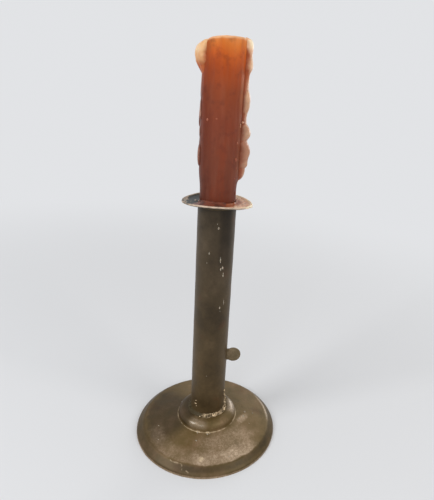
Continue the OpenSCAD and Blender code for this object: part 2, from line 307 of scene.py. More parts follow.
def settle(piece: bpy.types.Object) -> None:
    """Turns what a piece's modifiers make into its plain mesh."""
    graph = bpy.context.evaluated_depsgraph_get()
    mesh = bpy.data.meshes.new_from_object(piece.evaluated_get(graph))
    piece.modifiers.clear()
    before, piece.data = piece.data, mesh
    bpy.data.meshes.remove(before)
    mesh.name = piece.name


def points_of(piece: bpy.types.Object) -> np.ndarray:
    """The points of a piece's mesh, in millimetres."""
    flat = np.empty(len(piece.data.vertices) * 3)
    piece.data.vertices.foreach_get("co", flat)
    return flat.reshape(-1, 3) / MM


def move_points(piece: bpy.types.Object, points: np.ndarray) -> None:
    """Gives a piece's mesh new points, in millimetres."""
    piece.data.vertices.foreach_set("co", (points * MM).ravel())
    piece.data.update()


def paint(piece: bpy.types.Object, name: str, values: np.ndarray) -> None:
    """Keeps one value for each point of a piece, for its finish to read."""
    layer = piece.data.attributes.new(name, "FLOAT", "POINT")
    layer.data.foreach_set("value", np.clip(values, 0, 1).astype(np.float32))


def outward(piece: bpy.types.Object) -> None:
    """Merges a piece's doubled points and turns its faces outwards."""
    work = bmesh.new()
    work.from_mesh(piece.data)
    bmesh.ops.remove_doubles(work, verts=work.verts, dist=1e-7)
    bmesh.ops.recalc_face_normals(work, faces=work.faces)
    work.to_mesh(piece.data)
    work.free()


def dress(piece: bpy.types.Object, finish: bpy.types.Material) -> None:
    """Gives a piece one finish all over."""
    piece.data.materials.clear()
    piece.data.materials.append(finish)


def place(piece: bpy.types.Object, body: Body, slot: Slot, *nodes: str) -> None:
    """Makes a piece ride on its body.

    Args:
        piece: The finished piece.
        body: The body that it moves with.
        slot: Not used.
        nodes: CAD nodes that it stands for.
    """
    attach(piece, body.value)
    if nodes:
        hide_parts(*nodes)
    stood_for = f", for {', '.join(nodes)}" if nodes else ""
    LOG.info("%s: %d faces on %s%s", piece.name, len(piece.data.polygons), body.value, stood_for)


class NodeSketch:
    """Adds nodes to one tree and links them as they are made."""

    def __init__(self, tree: bpy.types.NodeTree) -> None:
        """Starts on a tree.

        Args:
            tree: A shader or geometry tree.
        """
        self.tree = tree

    def add(
        self, kind: str, settings: dict[str, object] | None = None, inputs: dict[str | int, Input] | None = None
    ) -> bpy.types.Node:
        """Adds one node.

        Args:
            kind: Blender's name for the node's type.
            settings: The node's own settings.
            inputs: A value or another node's output for each named or numbered input.

        Returns:
            The node.
        """
        node = self.tree.nodes.new(kind)
        for name, value in (settings or {}).items():
            setattr(node, name, value)
        for name, value in (inputs or {}).items():
            if isinstance(value, Socket):
                self.tree.links.new(value, node.inputs[name])
            else:
                node.inputs[name].default_value = value
        return node

    def math(self, operation: str, first: Input, second: Input = 0.0, third: Input = 0.0) -> Socket:
        """Adds a sum of one to three numbers and returns its result."""
        values = {0: first, 1: second, 2: third}
        return self.add("ShaderNodeMath", {"operation": operation}, values).outputs[0]

    def vector(self, operation: str, first: Input, second: Input = (0.0, 0.0, 0.0)) -> Socket:
        """Adds a sum of two vectors and returns the vector."""
        return self.add("ShaderNodeVectorMath", {"operation": operation}, {0: first, 1: second}).outputs[0]

    def noise(self, place: Input, scale: Input, detail: float = 3.0, seed: Input = 0.0) -> Socket:
        """Adds a cloud of random values.

        Args:
            place: Where the value is looked up.
            scale: Clouds in a metre.
            detail: How many finer clouds are added.
            seed: Picks another pattern.

        Returns:
            Its value, 0 to 1.
        """
        inputs = {"Vector": place, "W": seed, "Scale": scale, "Detail": detail, "Roughness": 0.55}
        return self.add("ShaderNodeTexNoise", {"noise_dimensions": "4D"}, inputs).outputs[0]

    def between(
        self, value: Input, low: float, high: float, to_low: float = 0.0, to_high: float = 1.0
    ) -> Socket:
        """Turns the stretch from low to high into a smooth step between two results."""
        inputs = {"Value": value, "From Min": low, "From Max": high, "To Min": to_low, "To Max": to_high}
        return self.add("ShaderNodeMapRange", {"interpolation_type": "SMOOTHSTEP"}, inputs).outputs[0]

    def mix(self, factor: Input, first: Input, second: Input, blend: str = "MIX") -> Socket:
        """Mixes two colours and returns the result."""
        settings = {"data_type": "RGBA", "blend_type": blend}
        return self.add("ShaderNodeMix", settings, {0: factor, 6: first, 7: second}).outputs[2]

    def ramp(self, factor: Input, stops: Sequence[tuple[float, Colour]]) -> Socket:
        """Adds a colour ramp.

        Args:
            factor: The place on the ramp.
            stops: Place and colour of each stop, in rising order.

        Returns:
            The ramp's colour.
        """
        node = self.add("ShaderNodeValToRGB", None, {0: factor})
        elements = node.color_ramp.elements
        elements[0].position, elements[0].color = stops[0]
        elements[1].position, elements[1].color = stops[-1]
        for position, colour in stops[1:-1]:
            elements.new(position).color = colour
        return node.outputs[0]

    def painted(self, name: str) -> Socket:
        """Reads a value that was painted on the piece's points."""
        return self.add("ShaderNodeAttribute", {"attribute_name": name}).outputs["Fac"]


def new_finish(name: str) -> tuple[bpy.types.Material, NodeSketch, bpy.types.Node]:
    """Starts a finish.

    Args:
        name: The material's name.

    Returns:
        The material, a sketch of its tree, and its main shader.
    """
    material = bpy.data.materials.new(name)
    material.use_nodes = True
    return material, NodeSketch(material.node_tree), material.node_tree.nodes["Principled BSDF"]


class PatinaGroup:
    """Shader group for old sheet iron: clouds of patina, rust, rubbed metal, pale residue and painted shade; on the
    foot the rubbed and pale colours also stand for painted highlights.
    """

    colours = ("Dark", "Middle", "Warm", "Bare", "Rubbed", "Residue", "Rust")
    masks = ("Wear", "Pale", "Shade")

    def __init__(self) -> None:
        """Builds the group once."""
        self.tree = bpy.data.node_groups.new("iron_patina", "ShaderNodeTree")
        face = self.tree.interface
        face.new_socket("Place", in_out="INPUT", socket_type="NodeSocketVector")
        for name in self.colours:
            face.new_socket(name, in_out="INPUT", socket_type="NodeSocketColor")
        for name in self.masks:
            face.new_socket(name, in_out="INPUT", socket_type="NodeSocketFloat")
        face.new_socket("Color", in_out="OUTPUT", socket_type="NodeSocketColor")
        for name in ("Roughness", "Metallic", "Height"):
            face.new_socket(name, in_out="OUTPUT", socket_type="NodeSocketFloat")
        sketch = NodeSketch(self.tree)
        given = sketch.add("NodeGroupInput").outputs
        at = given["Place"]
        broad = sketch.noise(at, 32, 2, 1.3)
        cloud = sketch.noise(at, 120, 4, 2.1)
        fine = sketch.noise(at, 620, 3, 3.7)
        grit = sketch.noise(at, 2400, 2, 4.9)
        clouds = sketch.math("MULTIPLY_ADD", broad, 0.45, sketch.math("MULTIPLY", cloud, 0.4))
        clouds = sketch.math("MULTIPLY_ADD", fine, 0.15, clouds)
        colour = sketch.mix(sketch.between(clouds, 0.36, 0.52), given["Dark"], given["Middle"])
        colour = sketch.mix(sketch.between(clouds, 0.5, 0.66), colour, given["Warm"])
        rust = sketch.math("MULTIPLY", sketch.between(sketch.noise(at, 85, 5, 6.2), 0.56, 0.72), 0.22)
        colour = sketch.mix(rust, colour, given["Rust"])
        speckle = sketch.math("MULTIPLY", sketch.between(grit, 0.56, 0.7), 0.22)
        colour = sketch.mix(speckle, colour, given["Warm"])
        # Painted shade: the Shade mask darkens the colour towards Dark.
        colour = sketch.mix(given["Shade"], colour, given["Dark"], "MULTIPLY")
        flecks = sketch.math("MULTIPLY_ADD", cloud, 0.3, sketch.math("MULTIPLY", grit, 0.4))
        flecks = sketch.math("MULTIPLY_ADD", fine, 0.3, flecks)
        # Rubbed metal where the worn mask is painted; on the foot that mask also holds painted highlights and a painted
        # reflection.
        colour = sketch.mix(sketch.math("MULTIPLY", given["Wear"], 0.5), colour, given["Bare"])
        rubbed = sketch.math("MULTIPLY", sketch.between(flecks, 0.44, 0.64), 0.75)
        rubbed = sketch.math("MULTIPLY", sketch.math("ADD", rubbed, 0.12), given["Wear"])
        colour = sketch.mix(rubbed, colour, given["Rubbed"])
        # Pale residue where Pale is painted; on the foot it also holds a painted highlight spot and painted glints.
        crust = sketch.math("MULTIPLY_ADD", given["Pale"], 1.1, sketch.math("MULTIPLY_ADD", flecks, 1.2, -0.75))
        crust = sketch.math("MULTIPLY", sketch.between(crust, 0.15, 0.9), sketch.between(given["Pale"], 0.02, 0.3))
        colour = sketch.mix(crust, colour, given["Residue"])
        rough = sketch.math("MULTIPLY_ADD", cloud, 0.25, 0.3)
        rough = sketch.math("MULTIPLY_ADD", rubbed, -0.08, rough)
        rough = sketch.math("MULTIPLY_ADD", crust, 0.15, rough)
        metal = sketch.math("MULTIPLY_ADD", rubbed, 0.35, 0.3)
        metal = sketch.math("MULTIPLY", metal, sketch.math("SUBTRACT", 1.0, crust))
        height = sketch.math("MULTIPLY_ADD", cloud, 0.45, sketch.math("MULTIPLY", fine, 0.35))
        pitted = sketch.math("MULTIPLY_ADD", given["Wear"], 0.55, 0.12)
        height = sketch.math("MULTIPLY_ADD", grit, pitted, height)
        sketch.add(
            "NodeGroupOutput", None, {"Color": colour, "Roughness": rough, "Metallic": metal, "Height": height}
        )


@dataclass(frozen=True)
class IronFinish:
    """Sheet iron with a patina, with painted shade and painted highlights read from the marks on its points."""

    name: str
    dark: Colour
    middle: Colour
    warm: Colour
    bare: Colour = tone(154, 130, 100)
    rubbed: Colour = tone(208, 186, 154)
    residue: Colour = tone(172, 154, 130)
    rust: Colour = tone(104, 60, 36)
    relief: float = 0.35
    low_tint: Colour = (1.0, 1.0, 1.0, 1.0)
    high_tint: Colour = (1.0, 1.0, 1.0, 1.0)

    def material(self, patina: PatinaGroup) -> bpy.types.Material:
        """Makes the finish.

        Args:
            patina: The shader group that all the iron shares.

        Returns:
            The material.
        """
        material, sketch, shader = new_finish(self.name)
        at = sketch.add("ShaderNodeTexCoord").outputs["Object"]
        group = sketch.add("ShaderNodeGroup", {"node_tree": patina.tree}, {
            "Place": at, "Dark": self.dark, "Middle": self.middle, "Warm": self.warm, "Bare": self.bare,
            "Rubbed": self.rubbed, "Residue": self.residue, "Rust": self.rust,
            "Wear": sketch.painted("wear_and_sheen"), "Pale": sketch.painted("pale"), "Shade": sketch.painted("shade"),
        })
        bump = sketch.add("ShaderNodeBump", None, {
            "Strength": self.relief, "Distance": 0.35 * MM, "Height": group.outputs["Height"],
        })
        height = sketch.add("ShaderNodeSeparateXYZ", None, {0: at}).outputs["Z"]
        tint = sketch.mix(sketch.between(height, 25 * MM, 175 * MM), self.low_tint, self.high_tint)
        colour = sketch.mix(1.0, group.outputs["Color"], tint, "MULTIPLY")
        sketch.tree.links.new(colour, shader.inputs["Base Color"])
        for name in ("Roughness", "Metallic"):
            sketch.tree.links.new(group.outputs[name], shader.inputs[name])
        sketch.tree.links.new(bump.outputs[0], shader.inputs["Normal"])
        sketch.tree.links.new(sketch.painted("polish"), shader.inputs["Coat Weight"])
        shader.inputs["Coat Roughness"].default_value = 0.24
        shader.inputs["Specular IOR Level"].default_value = 0.3
        return material


@dataclass(frozen=True)
class SolderFinish:
    """Soft solder in clouds of dull and bright metal, with painted highlights and painted shade."""

    name: str = "lumpy_solder"
    dull: Colour = tone(82, 68, 46)
    bright: Colour = tone(204, 180, 146)
    painted_shade_colour: Colour = tone(70, 60, 38)

    def material(self) -> bpy.types.Material:
        """Makes the finish."""
        material, sketch, shader = new_finish(self.name)
        at = sketch.add("ShaderNodeTexCoord").outputs["Object"]
        cloud, grit = sketch.noise(at, 260, 3, 1.0), sketch.noise(at, 1500, 3, 2.0)
        # Bright, clean solder where the worn mask is painted: on the foot's front and right it is a painted highlight.
        shine = sketch.painted("wear_and_sheen")
        dirt = sketch.math("MULTIPLY_ADD", cloud, 0.6, sketch.math("MULTIPLY_ADD", grit, 0.5, -0.28))
        dirt = sketch.math("MULTIPLY_ADD", shine, 0.55, dirt)
        clean = sketch.between(dirt, 0.3, 0.85)
        links = sketch.tree.links
        colour = sketch.mix(clean, self.dull, self.bright)
        # Painted shade: where shade is painted, the solder goes to the dark shade colour.
        links.new(sketch.mix(sketch.painted("shade"), colour, self.painted_shade_colour), shader.inputs["Base Color"])
        links.new(sketch.math("MULTIPLY_ADD", clean, -0.2, 0.5), shader.inputs["Roughness"])
        metal = sketch.math("MULTIPLY_ADD", clean, 0.4, 0.3)
        metal = sketch.math("MULTIPLY", metal, sketch.math("SUBTRACT", 1.0, sketch.painted("shade")))
        links.new(metal, shader.inputs["Metallic"])
        shader.inputs["Specular IOR Level"].default_value = 0.2
        height = sketch.math("MULTIPLY_ADD", cloud, 0.6, sketch.math("MULTIPLY", grit, 0.4))
        bump = sketch.add("ShaderNodeBump", None, {"Strength": 0.5, "Distance": 0.3 * MM, "Height": height})
        links.new(bump.outputs[0], shader.inputs["Normal"])
        return material


@dataclass(frozen=True)
class CandleFinish:
    """Red-brown wax that goes orange towards the burnt end, with upright streaks, painted shade and painted highlights.
    """

    name: str = "red_brown_wax"
    low: float = 176
    high: float = 272
    stops: tuple[tuple[float, Colour], ...] = (
        (0.0, tone(108, 58, 43)), (0.3, tone(118, 62, 44)), (0.52, tone(126, 62, 42)),
        (0.72, tone(142, 68, 38)), (0.83, tone(172, 76, 30)), (0.9, tone(206, 98, 34)),
        (0.96, tone(220, 122, 50)), (1.0, tone(228, 142, 76)),
    )

    def material(self) -> bpy.types.Material:
        """Makes the finish."""
        material, sketch, shader = new_finish(self.name)
        links = sketch.tree.links
        at = sketch.add("ShaderNodeTexCoord").outputs["Object"]
        streak = sketch.noise(sketch.vector("MULTIPLY", at, (1.0, 1.0, 0.12)), 300, 3, 5.0)
        broad = sketch.noise(sketch.vector("MULTIPLY", at, (1.0, 1.0, 0.3)), 130, 3, 8.0)
        cloud = sketch.noise(at, 170, 4, 3.0)
        height = sketch.add("ShaderNodeSeparateXYZ", None, {0: at}).outputs["Z"]
        wander = sketch.math("MULTIPLY_ADD", broad, 0.014, sketch.math("ADD", height, -0.007))
        span = (self.high - self.low) * MM
        along = sketch.math("DIVIDE", sketch.math("SUBTRACT", wander, self.low * MM), span)
        colour = sketch.ramp(along, self.stops)
        light = sketch.math("MULTIPLY", sketch.between(streak, 0.42, 0.72), 0.3)
        colour = sketch.mix(light, colour, tone(150, 88, 66))
        warm = sketch.math("MULTIPLY", sketch.between(broad, 0.5, 0.66), 0.3)
        colour = sketch.mix(warm, colour, tone(140, 60, 32))
        mottle = sketch.math("MULTIPLY", sketch.between(cloud, 0.5, 0.68), 0.3)
        colour = sketch.mix(mottle, colour, tone(88, 44, 36))
        # Painted shade darkens the wax where shade is painted; pale marks lighten it, among them the painted highlights
        # on the rim and the right side.
        colour = sketch.mix(sketch.painted("shade"), colour, tone(190, 172, 165), "MULTIPLY")
        colour = sketch.mix(sketch.painted("pale"), colour, tone(236, 178, 130))
        links.new(colour, shader.inputs["Base Color"])
        links.new(sketch.math("MULTIPLY_ADD", cloud, 0.25, 0.3), shader.inputs["Roughness"])
        relief = sketch.math("MULTIPLY_ADD", streak, 0.5, sketch.math("MULTIPLY", cloud, 0.5))
        bump = sketch.add("ShaderNodeBump", None, {"Strength": 0.35, "Distance": 0.4 * MM, "Height": relief})
        links.new(bump.outputs[0], shader.inputs["Normal"])
        shader.inputs["Subsurface Weight"].default_value = 0.12
        shader.inputs["Subsurface Radius"].default_value = (1.0, 0.3, 0.12)
        shader.inputs["Subsurface Scale"].default_value = 2 * MM
        shader.inputs["Specular IOR Level"].default_value = 0.12
        return material


@dataclass(frozen=True)
class DripFinish:
    """Set drips of wax: pale and thick at their crests, with painted highlights there, the candle's colour where they
    are thin, and painted shade.
    """

    name: str
    pale: Colour
    middle: Colour
    thin: Colour
    low: float
    high: float

    def material(self) -> bpy.types.Material:
        """Makes the finish."""
        material, sketch, shader = new_finish(self.name)
        links = sketch.tree.links
        at = sketch.add("ShaderNodeTexCoord").outputs["Object"]
        cloud, grit = sketch.noise(at, 240, 4, 2.0), sketch.noise(at, 1100, 3, 7.0)
        height = sketch.add("ShaderNodeSeparateXYZ", None, {0: at}).outputs["Z"]
        span = max(self.high - self.low, 1) * MM
        along = sketch.math("DIVIDE", sketch.math("SUBTRACT", height, self.low * MM), span)
        along = sketch.math("MULTIPLY_ADD", cloud, 0.5, sketch.math("ADD", along, -0.25))
        colour = sketch.mix(sketch.between(along, 0.15, 0.95), self.middle, self.pale)
        thin = sketch.math("MULTIPLY_ADD", cloud, 0.5, sketch.math("ADD", sketch.painted("thin"), -0.25))
        see_through = sketch.mix(sketch.between(height, 236 * MM, 262 * MM), self.thin, tone(168, 82, 40))
        colour = sketch.mix(sketch.between(thin, 0.2, 0.9), colour, see_through)
        # Painted highlights where bright is painted, painted shade where shade is painted.
        colour = sketch.mix(sketch.painted("bright"), colour, tone(252, 232, 196))
        colour = sketch.mix(sketch.painted("shade"), colour, tone(120, 70, 52), "MULTIPLY")
        links.new(colour, shader.inputs["Base Color"])
        links.new(sketch.math("MULTIPLY_ADD", cloud, 0.25, 0.25), shader.inputs["Roughness"])
        relief = sketch.math("MULTIPLY_ADD", grit, 0.4, sketch.math("MULTIPLY", cloud, 0.6))
        bump = sketch.add("ShaderNodeBump", None, {"Strength": 0.35, "Distance": 0.35 * MM, "Height": relief})
        links.new(bump.outputs[0], shader.inputs["Normal"])
        shader.inputs["Subsurface Weight"].default_value = 0.18
        shader.inputs["Subsurface Radius"].default_value = (1.0, 0.5, 0.3)
        shader.inputs["Subsurface Scale"].default_value = 2 * MM
        shader.inputs["Specular IOR Level"].default_value = 0.25
        return material


@dataclass(frozen=True)
class WickFinish:
    """Cotton wick, charred at its end and waxed lower down."""

    name: str = "charred_cotton"
    char: Colour = tone(30, 25, 23)
    ash: Colour = tone(92, 84, 78)
    burnt_from: float = 264

    def material(self) -> bpy.types.Material:
        """Makes the finish."""
        material, sketch, shader = new_finish(self.name)
        at = sketch.add("ShaderNodeTexCoord").outputs["Object"]
        fibres = sketch.noise(at, 2600, 4, 1.0)
        height = sketch.add("ShaderNodeSeparateXYZ", None, {0: at}).outputs["Z"]
        burnt = sketch.between(height, (self.burnt_from - 2) * MM, (self.burnt_from + 1) * MM)
        charred = sketch.mix(sketch.between(fibres, 0.45, 0.75), self.char, self.ash)
        colour = sketch.mix(burnt, tone(196, 170, 132), charred)
        sketch.tree.links.new(colour, shader.inputs["Base Color"])
        sketch.tree.links.new(sketch.math("MULTIPLY_ADD", fibres, 0.2, 0.75), shader.inputs["Roughness"])
        bump = sketch.add("ShaderNodeBump", None, {"Strength": 0.6, "Distance": 0.15 * MM, "Height": fibres})
        sketch.tree.links.new(bump.outputs[0], shader.inputs["Normal"])
        return material


class GrowthTree:
    """A Geometry Nodes tree with named inputs that turns a simple guide mesh into a piece."""

    def __init__(self, name: str, sizes: dict[str, str]) -> None:
        """Starts the tree.

        Args:
            name: The tree's name.
            sizes: Name and socket type of each input, besides the guide and the material.
        """
        self.tree = bpy.data.node_groups.new(name, "GeometryNodeTree")
        face = self.tree.interface
        face.new_socket("Guide", in_out="INPUT", socket_type="NodeSocketGeometry")
        for label, kind in {**sizes, "Material": "Material"}.items():
            face.new_socket(label, in_out="INPUT", socket_type="NodeSocket" + kind)
        face.new_socket("Geometry", in_out="OUTPUT", socket_type="NodeSocketGeometry")
        self.sketch = NodeSketch(self.tree)
        self.given = self.sketch.add("NodeGroupInput").outputs

    def wobble(self, geometry: Socket, height: Input, size: Input, seed: Input, selection: bool = True) -> Socket:
        """Moves points off a true shape by a smooth random amount.

        Args:
            geometry: What is moved.
            height: Largest move, in metres.
            size: Size of the waves, in metres.
            seed: Picks another pattern.
            selection: False to leave the points alone.

        Returns:
            The moved geometry.
        """
        sketch = self.sketch
        scale = sketch.math("DIVIDE", 1.0, size)
        at = sketch.add("GeometryNodeInputPosition").outputs[0]
        inputs = {"Vector": at, "W": seed, "Scale": scale, "Detail": 1.0}
        random = sketch.add("ShaderNodeTexNoise", {"noise_dimensions": "4D"}, inputs).outputs["Color"]
        centred = sketch.vector("SUBTRACT", random, (0.5, 0.5, 0.5))
        reach = sketch.add("ShaderNodeVectorMath", {"operation": "SCALE"}, {
            0: centred, "Scale": sketch.math("MULTIPLY", height, 2.0),
        }).outputs[0]
        inputs = {"Geometry": geometry, "Offset": reach, "Selection": selection}
        return sketch.add("GeometryNodeSetPosition", None, inputs).outputs[0]

    def end(self, geometry: Socket) -> None:
        """Ends the tree with smooth shading, real geometry and the piece's material."""
        sketch = self.sketch
        smooth = sketch.add("GeometryNodeSetShadeSmooth", None, {"Geometry": geometry}).outputs[0]
        real = sketch.add("GeometryNodeRealizeInstances", None, {"Geometry": smooth}).outputs[0]
        dressed = sketch.add("GeometryNodeSetMaterial", None, {
            "Geometry": real, "Material": self.given["Material"],
        }).outputs[0]
        sketch.add("NodeGroupOutput", None, {0: dressed})

    def grow(self, guide: bpy.types.Object, sizes: dict[str, object]) -> bpy.types.Object:
        """Turns a guide into the finished piece.

        Args:
            guide: The object whose mesh the tree starts from.
            sizes: A value for each named input.

        Returns:
            The same object, now a plain mesh with its faces turned outwards.
        """
        modifier = guide.modifiers.new(self.tree.name, "NODES")
        modifier.node_group = self.tree
        for item in self.tree.interface.items_tree:
            if item.in_out == "INPUT" and item.name in sizes:
                modifier[item.identifier] = sizes[item.name]
        settle(guide)
        outward(guide)
        return guide


class TurnedSheet(GrowthTree):
    """Turns a profile, drawn as a line in the XZ plane, once round the upright axis."""

    sweep_radius = 0.01

    def __init__(self) -> None:
        """Builds the tree."""
        super().__init__("turned_sheet", {
            "Steps": "Int", "Wobble Height": "Float", "Wobble Size": "Float",
            "Lump Height": "Float", "Lump Size": "Float", "Seed": "Float",
        })
        sketch, given = self.sketch, self.given
        at = sketch.add("ShaderNodeSeparateXYZ", None, {
            0: sketch.add("GeometryNodeInputPosition").outputs[0],
        }).outputs
        flat = sketch.add("ShaderNodeCombineXYZ", None, {
            "X": sketch.math("SUBTRACT", at["X"], self.sweep_radius),
            "Y": sketch.math("MULTIPLY", at["Z"], -1.0),
        }).outputs[0]
        laid = sketch.add("GeometryNodeSetPosition", None, {"Geometry": given["Guide"], "Position": flat}).outputs[0]
        profile = sketch.add("GeometryNodeMeshToCurve", None, {0: laid}).outputs[0]
        circle = sketch.add("GeometryNodeCurvePrimitiveCircle", None, {
            "Resolution": given["Steps"], "Radius": self.sweep_radius,
        }).outputs[0]
        upright = sketch.add("GeometryNodeSetCurveNormal", {"mode": "Z_UP"}, {0: circle}).outputs[0]
        turned = sketch.add("GeometryNodeCurveToMesh", None, {
            "Curve": upright, "Profile Curve": profile,
        }).outputs[0]
        waved = self.wobble(turned, given["Wobble Height"], given["Wobble Size"], given["Seed"])
        lumpy = self.wobble(waved, given["Lump Height"], given["Lump Size"], given["Seed"])
        self.end(lumpy)


class BeadsOnPath(GrowthTree):
    """Sets small uneven beads along a line, as solder and braze leave them."""

    def __init__(self) -> None:
        """Builds the tree."""
        super().__init__("beads_on_path", {
            "Count": "Int", "Bead Size": "Float", "Size Spread": "Float", "Stray": "Float", "Seed": "Int",
        })
        sketch, given = self.sketch, self.given
        path = sketch.add("GeometryNodeMeshToCurve", None, {0: given["Guide"]}).outputs[0]
        even = sketch.add("GeometryNodeResampleCurve", None, {"Curve": path, "Count": given["Count"]}).outputs[0]
        stray = self.random("FLOAT_VECTOR", sketch.vector("MULTIPLY", (-1.0, -1.0, -1.0), self.spread(given["Stray"])),
                            self.spread(given["Stray"]), 1)
        strewn = sketch.add("GeometryNodeSetPosition", None, {"Geometry": even, "Offset": stray}).outputs[0]
        ball = sketch.add("GeometryNodeMeshIcoSphere", None, {"Radius": 1.0, "Subdivisions": 3}).outputs[0]
        low = sketch.math("MULTIPLY", given["Bead Size"], sketch.math("SUBTRACT", 1.0, given["Size Spread"]))
        high = sketch.math("MULTIPLY", given["Bead Size"], sketch.math("ADD", 1.0, given["Size Spread"]))
        size = self.random("FLOAT_VECTOR", self.spread(low), self.spread(high), 2)
        turn = self.random("FLOAT_VECTOR", (0.0, 0.0, 0.0), (6.28, 6.28, 6.28), 3)
        beads = sketch.add("GeometryNodeInstanceOnPoints", None, {
            "Points": strewn, "Instance": ball, "Rotation": turn, "Scale": size,
        }).outputs[0]
        real = sketch.add("GeometryNodeRealizeInstances", None, {"Geometry": beads}).outputs[0]
        lump = sketch.math("MULTIPLY", given["Bead Size"], 0.3)
        self.end(self.wobble(real, lump, given["Bead Size"], 1.0))

    def spread(self, value: Input) -> Socket:
        """The same number on all three axes."""
        return self.sketch.add("ShaderNodeCombineXYZ", None, {"X": value, "Y": value, "Z": value}).outputs[0]

    def random(self, kind: str, low: Input, high: Input, offset: int) -> Socket:
        """A random vector for each bead.

        Args:
            kind: Data type of the node.
            low: Lowest vector.
            high: Highest vector.
            offset: Keeps this draw apart from the others of the same seed.

        Returns:
            The vector.
        """
        seed = self.sketch.math("ADD", self.given["Seed"], float(offset * 100))
        inputs = {0: low, 1: high, "Seed": seed}
        return self.sketch.add("FunctionNodeRandomValue", {"data_type": kind}, inputs).outputs[0]


class DropsOnSurface(GrowthTree):
    """Sets a rounded drop with a tail on each point of the guide, by the turn and size kept there."""

    def __init__(self) -> None:
        """Builds the tree."""
        super().__init__("drops_on_surface", {"Tail": "Float", "Unevenness": "Float", "Seed": "Float"})
        sketch, given = self.sketch, self.given
        ball = sketch.add("GeometryNodeMeshIcoSphere", None, {"Radius": 1.0, "Subdivisions": 4}).outputs[0]
        at = sketch.add("GeometryNodeInputPosition").outputs[0]
        up = sketch.add("ShaderNodeSeparateXYZ", None, {0: at}).outputs["Z"]
        narrow = sketch.math("MULTIPLY", sketch.between(up, -0.2, 1.0), given["Tail"])
        across = sketch.math("SUBTRACT", 1.0, narrow)
        shape = sketch.add("ShaderNodeCombineXYZ", None, {"X": across, "Y": across, "Z": 1.0}).outputs[0]
        drawn = sketch.add("GeometryNodeSetPosition", None, {
            "Geometry": ball, "Position": sketch.vector("MULTIPLY", at, shape),
        }).outputs[0]
        drops = sketch.add("GeometryNodeInstanceOnPoints", None, {
            "Points": given["Guide"], "Instance": drawn,
            "Rotation": self.kept("turn"), "Scale": self.kept("size"),
        }).outputs[0]
        real = sketch.add("GeometryNodeRealizeInstances", None, {"Geometry": drops}).outputs[0]
        self.end(self.wobble(real, given["Unevenness"], 0.0012, given["Seed"]))

    def kept(self, name: str) -> Socket:
        """Reads a vector that is kept on each point of the guide."""
        settings = {"data_type": "FLOAT_VECTOR"}
        return self.sketch.add("GeometryNodeInputNamedAttribute", settings, {"Name": name}).outputs[0]


class TwistedCord(GrowthTree):
    """Twists a three-lobed cord along a line, for the wick."""

    def __init__(self) -> None:
        """Builds the tree."""
        super().__init__("twisted_cord", {
            "Radius": "Float", "Lobe Depth": "Float", "Twists": "Float", "Spacing": "Float",
        })
        sketch, given = self.sketch, self.given
        path = sketch.add("GeometryNodeMeshToCurve", None, {0: given["Guide"]}).outputs[0]
        even = sketch.add("GeometryNodeResampleCurve", {"mode": "LENGTH"}, {
            "Curve": path, "Length": given["Spacing"],
        }).outputs[0]
        part = sketch.add("GeometryNodeSplineParameter").outputs["Factor"]
        tilt = sketch.math("MULTIPLY", sketch.math("MULTIPLY", part, given["Twists"]), 2 * math.pi)
        twisted = sketch.add("GeometryNodeSetCurveTilt", None, {"Curve": even, "Tilt": tilt}).outputs[0]
        round_end = sketch.add("GeometryNodeCurvePrimitiveCircle", None, {"Resolution": 24, "Radius": 1.0}).outputs[0]
        at = sketch.add("GeometryNodeInputPosition").outputs[0]
        xyz = sketch.add("ShaderNodeSeparateXYZ", None, {0: at}).outputs
        turn = sketch.math("MULTIPLY", sketch.math("ARCTAN2", xyz["Y"], xyz["X"]), 3.0)
        lobe = sketch.math("MULTIPLY", sketch.math("COSINE", turn), given["Lobe Depth"])
        reach = sketch.math("MULTIPLY", sketch.math("ADD", 1.0, lobe), given["Radius"])
        lobed = sketch.add("GeometryNodeSetPosition", None, {
            "Geometry": round_end,
            "Position": sketch.add("ShaderNodeVectorMath", {"operation": "SCALE"}, {0: at, "Scale": reach}).outputs[0],
        }).outputs[0]
        cord = sketch.add("GeometryNodeCurveToMesh", None, {
            "Curve": twisted, "Profile Curve": lobed, "Fill Caps": True,
        }).outputs[0]
        self.end(cord)


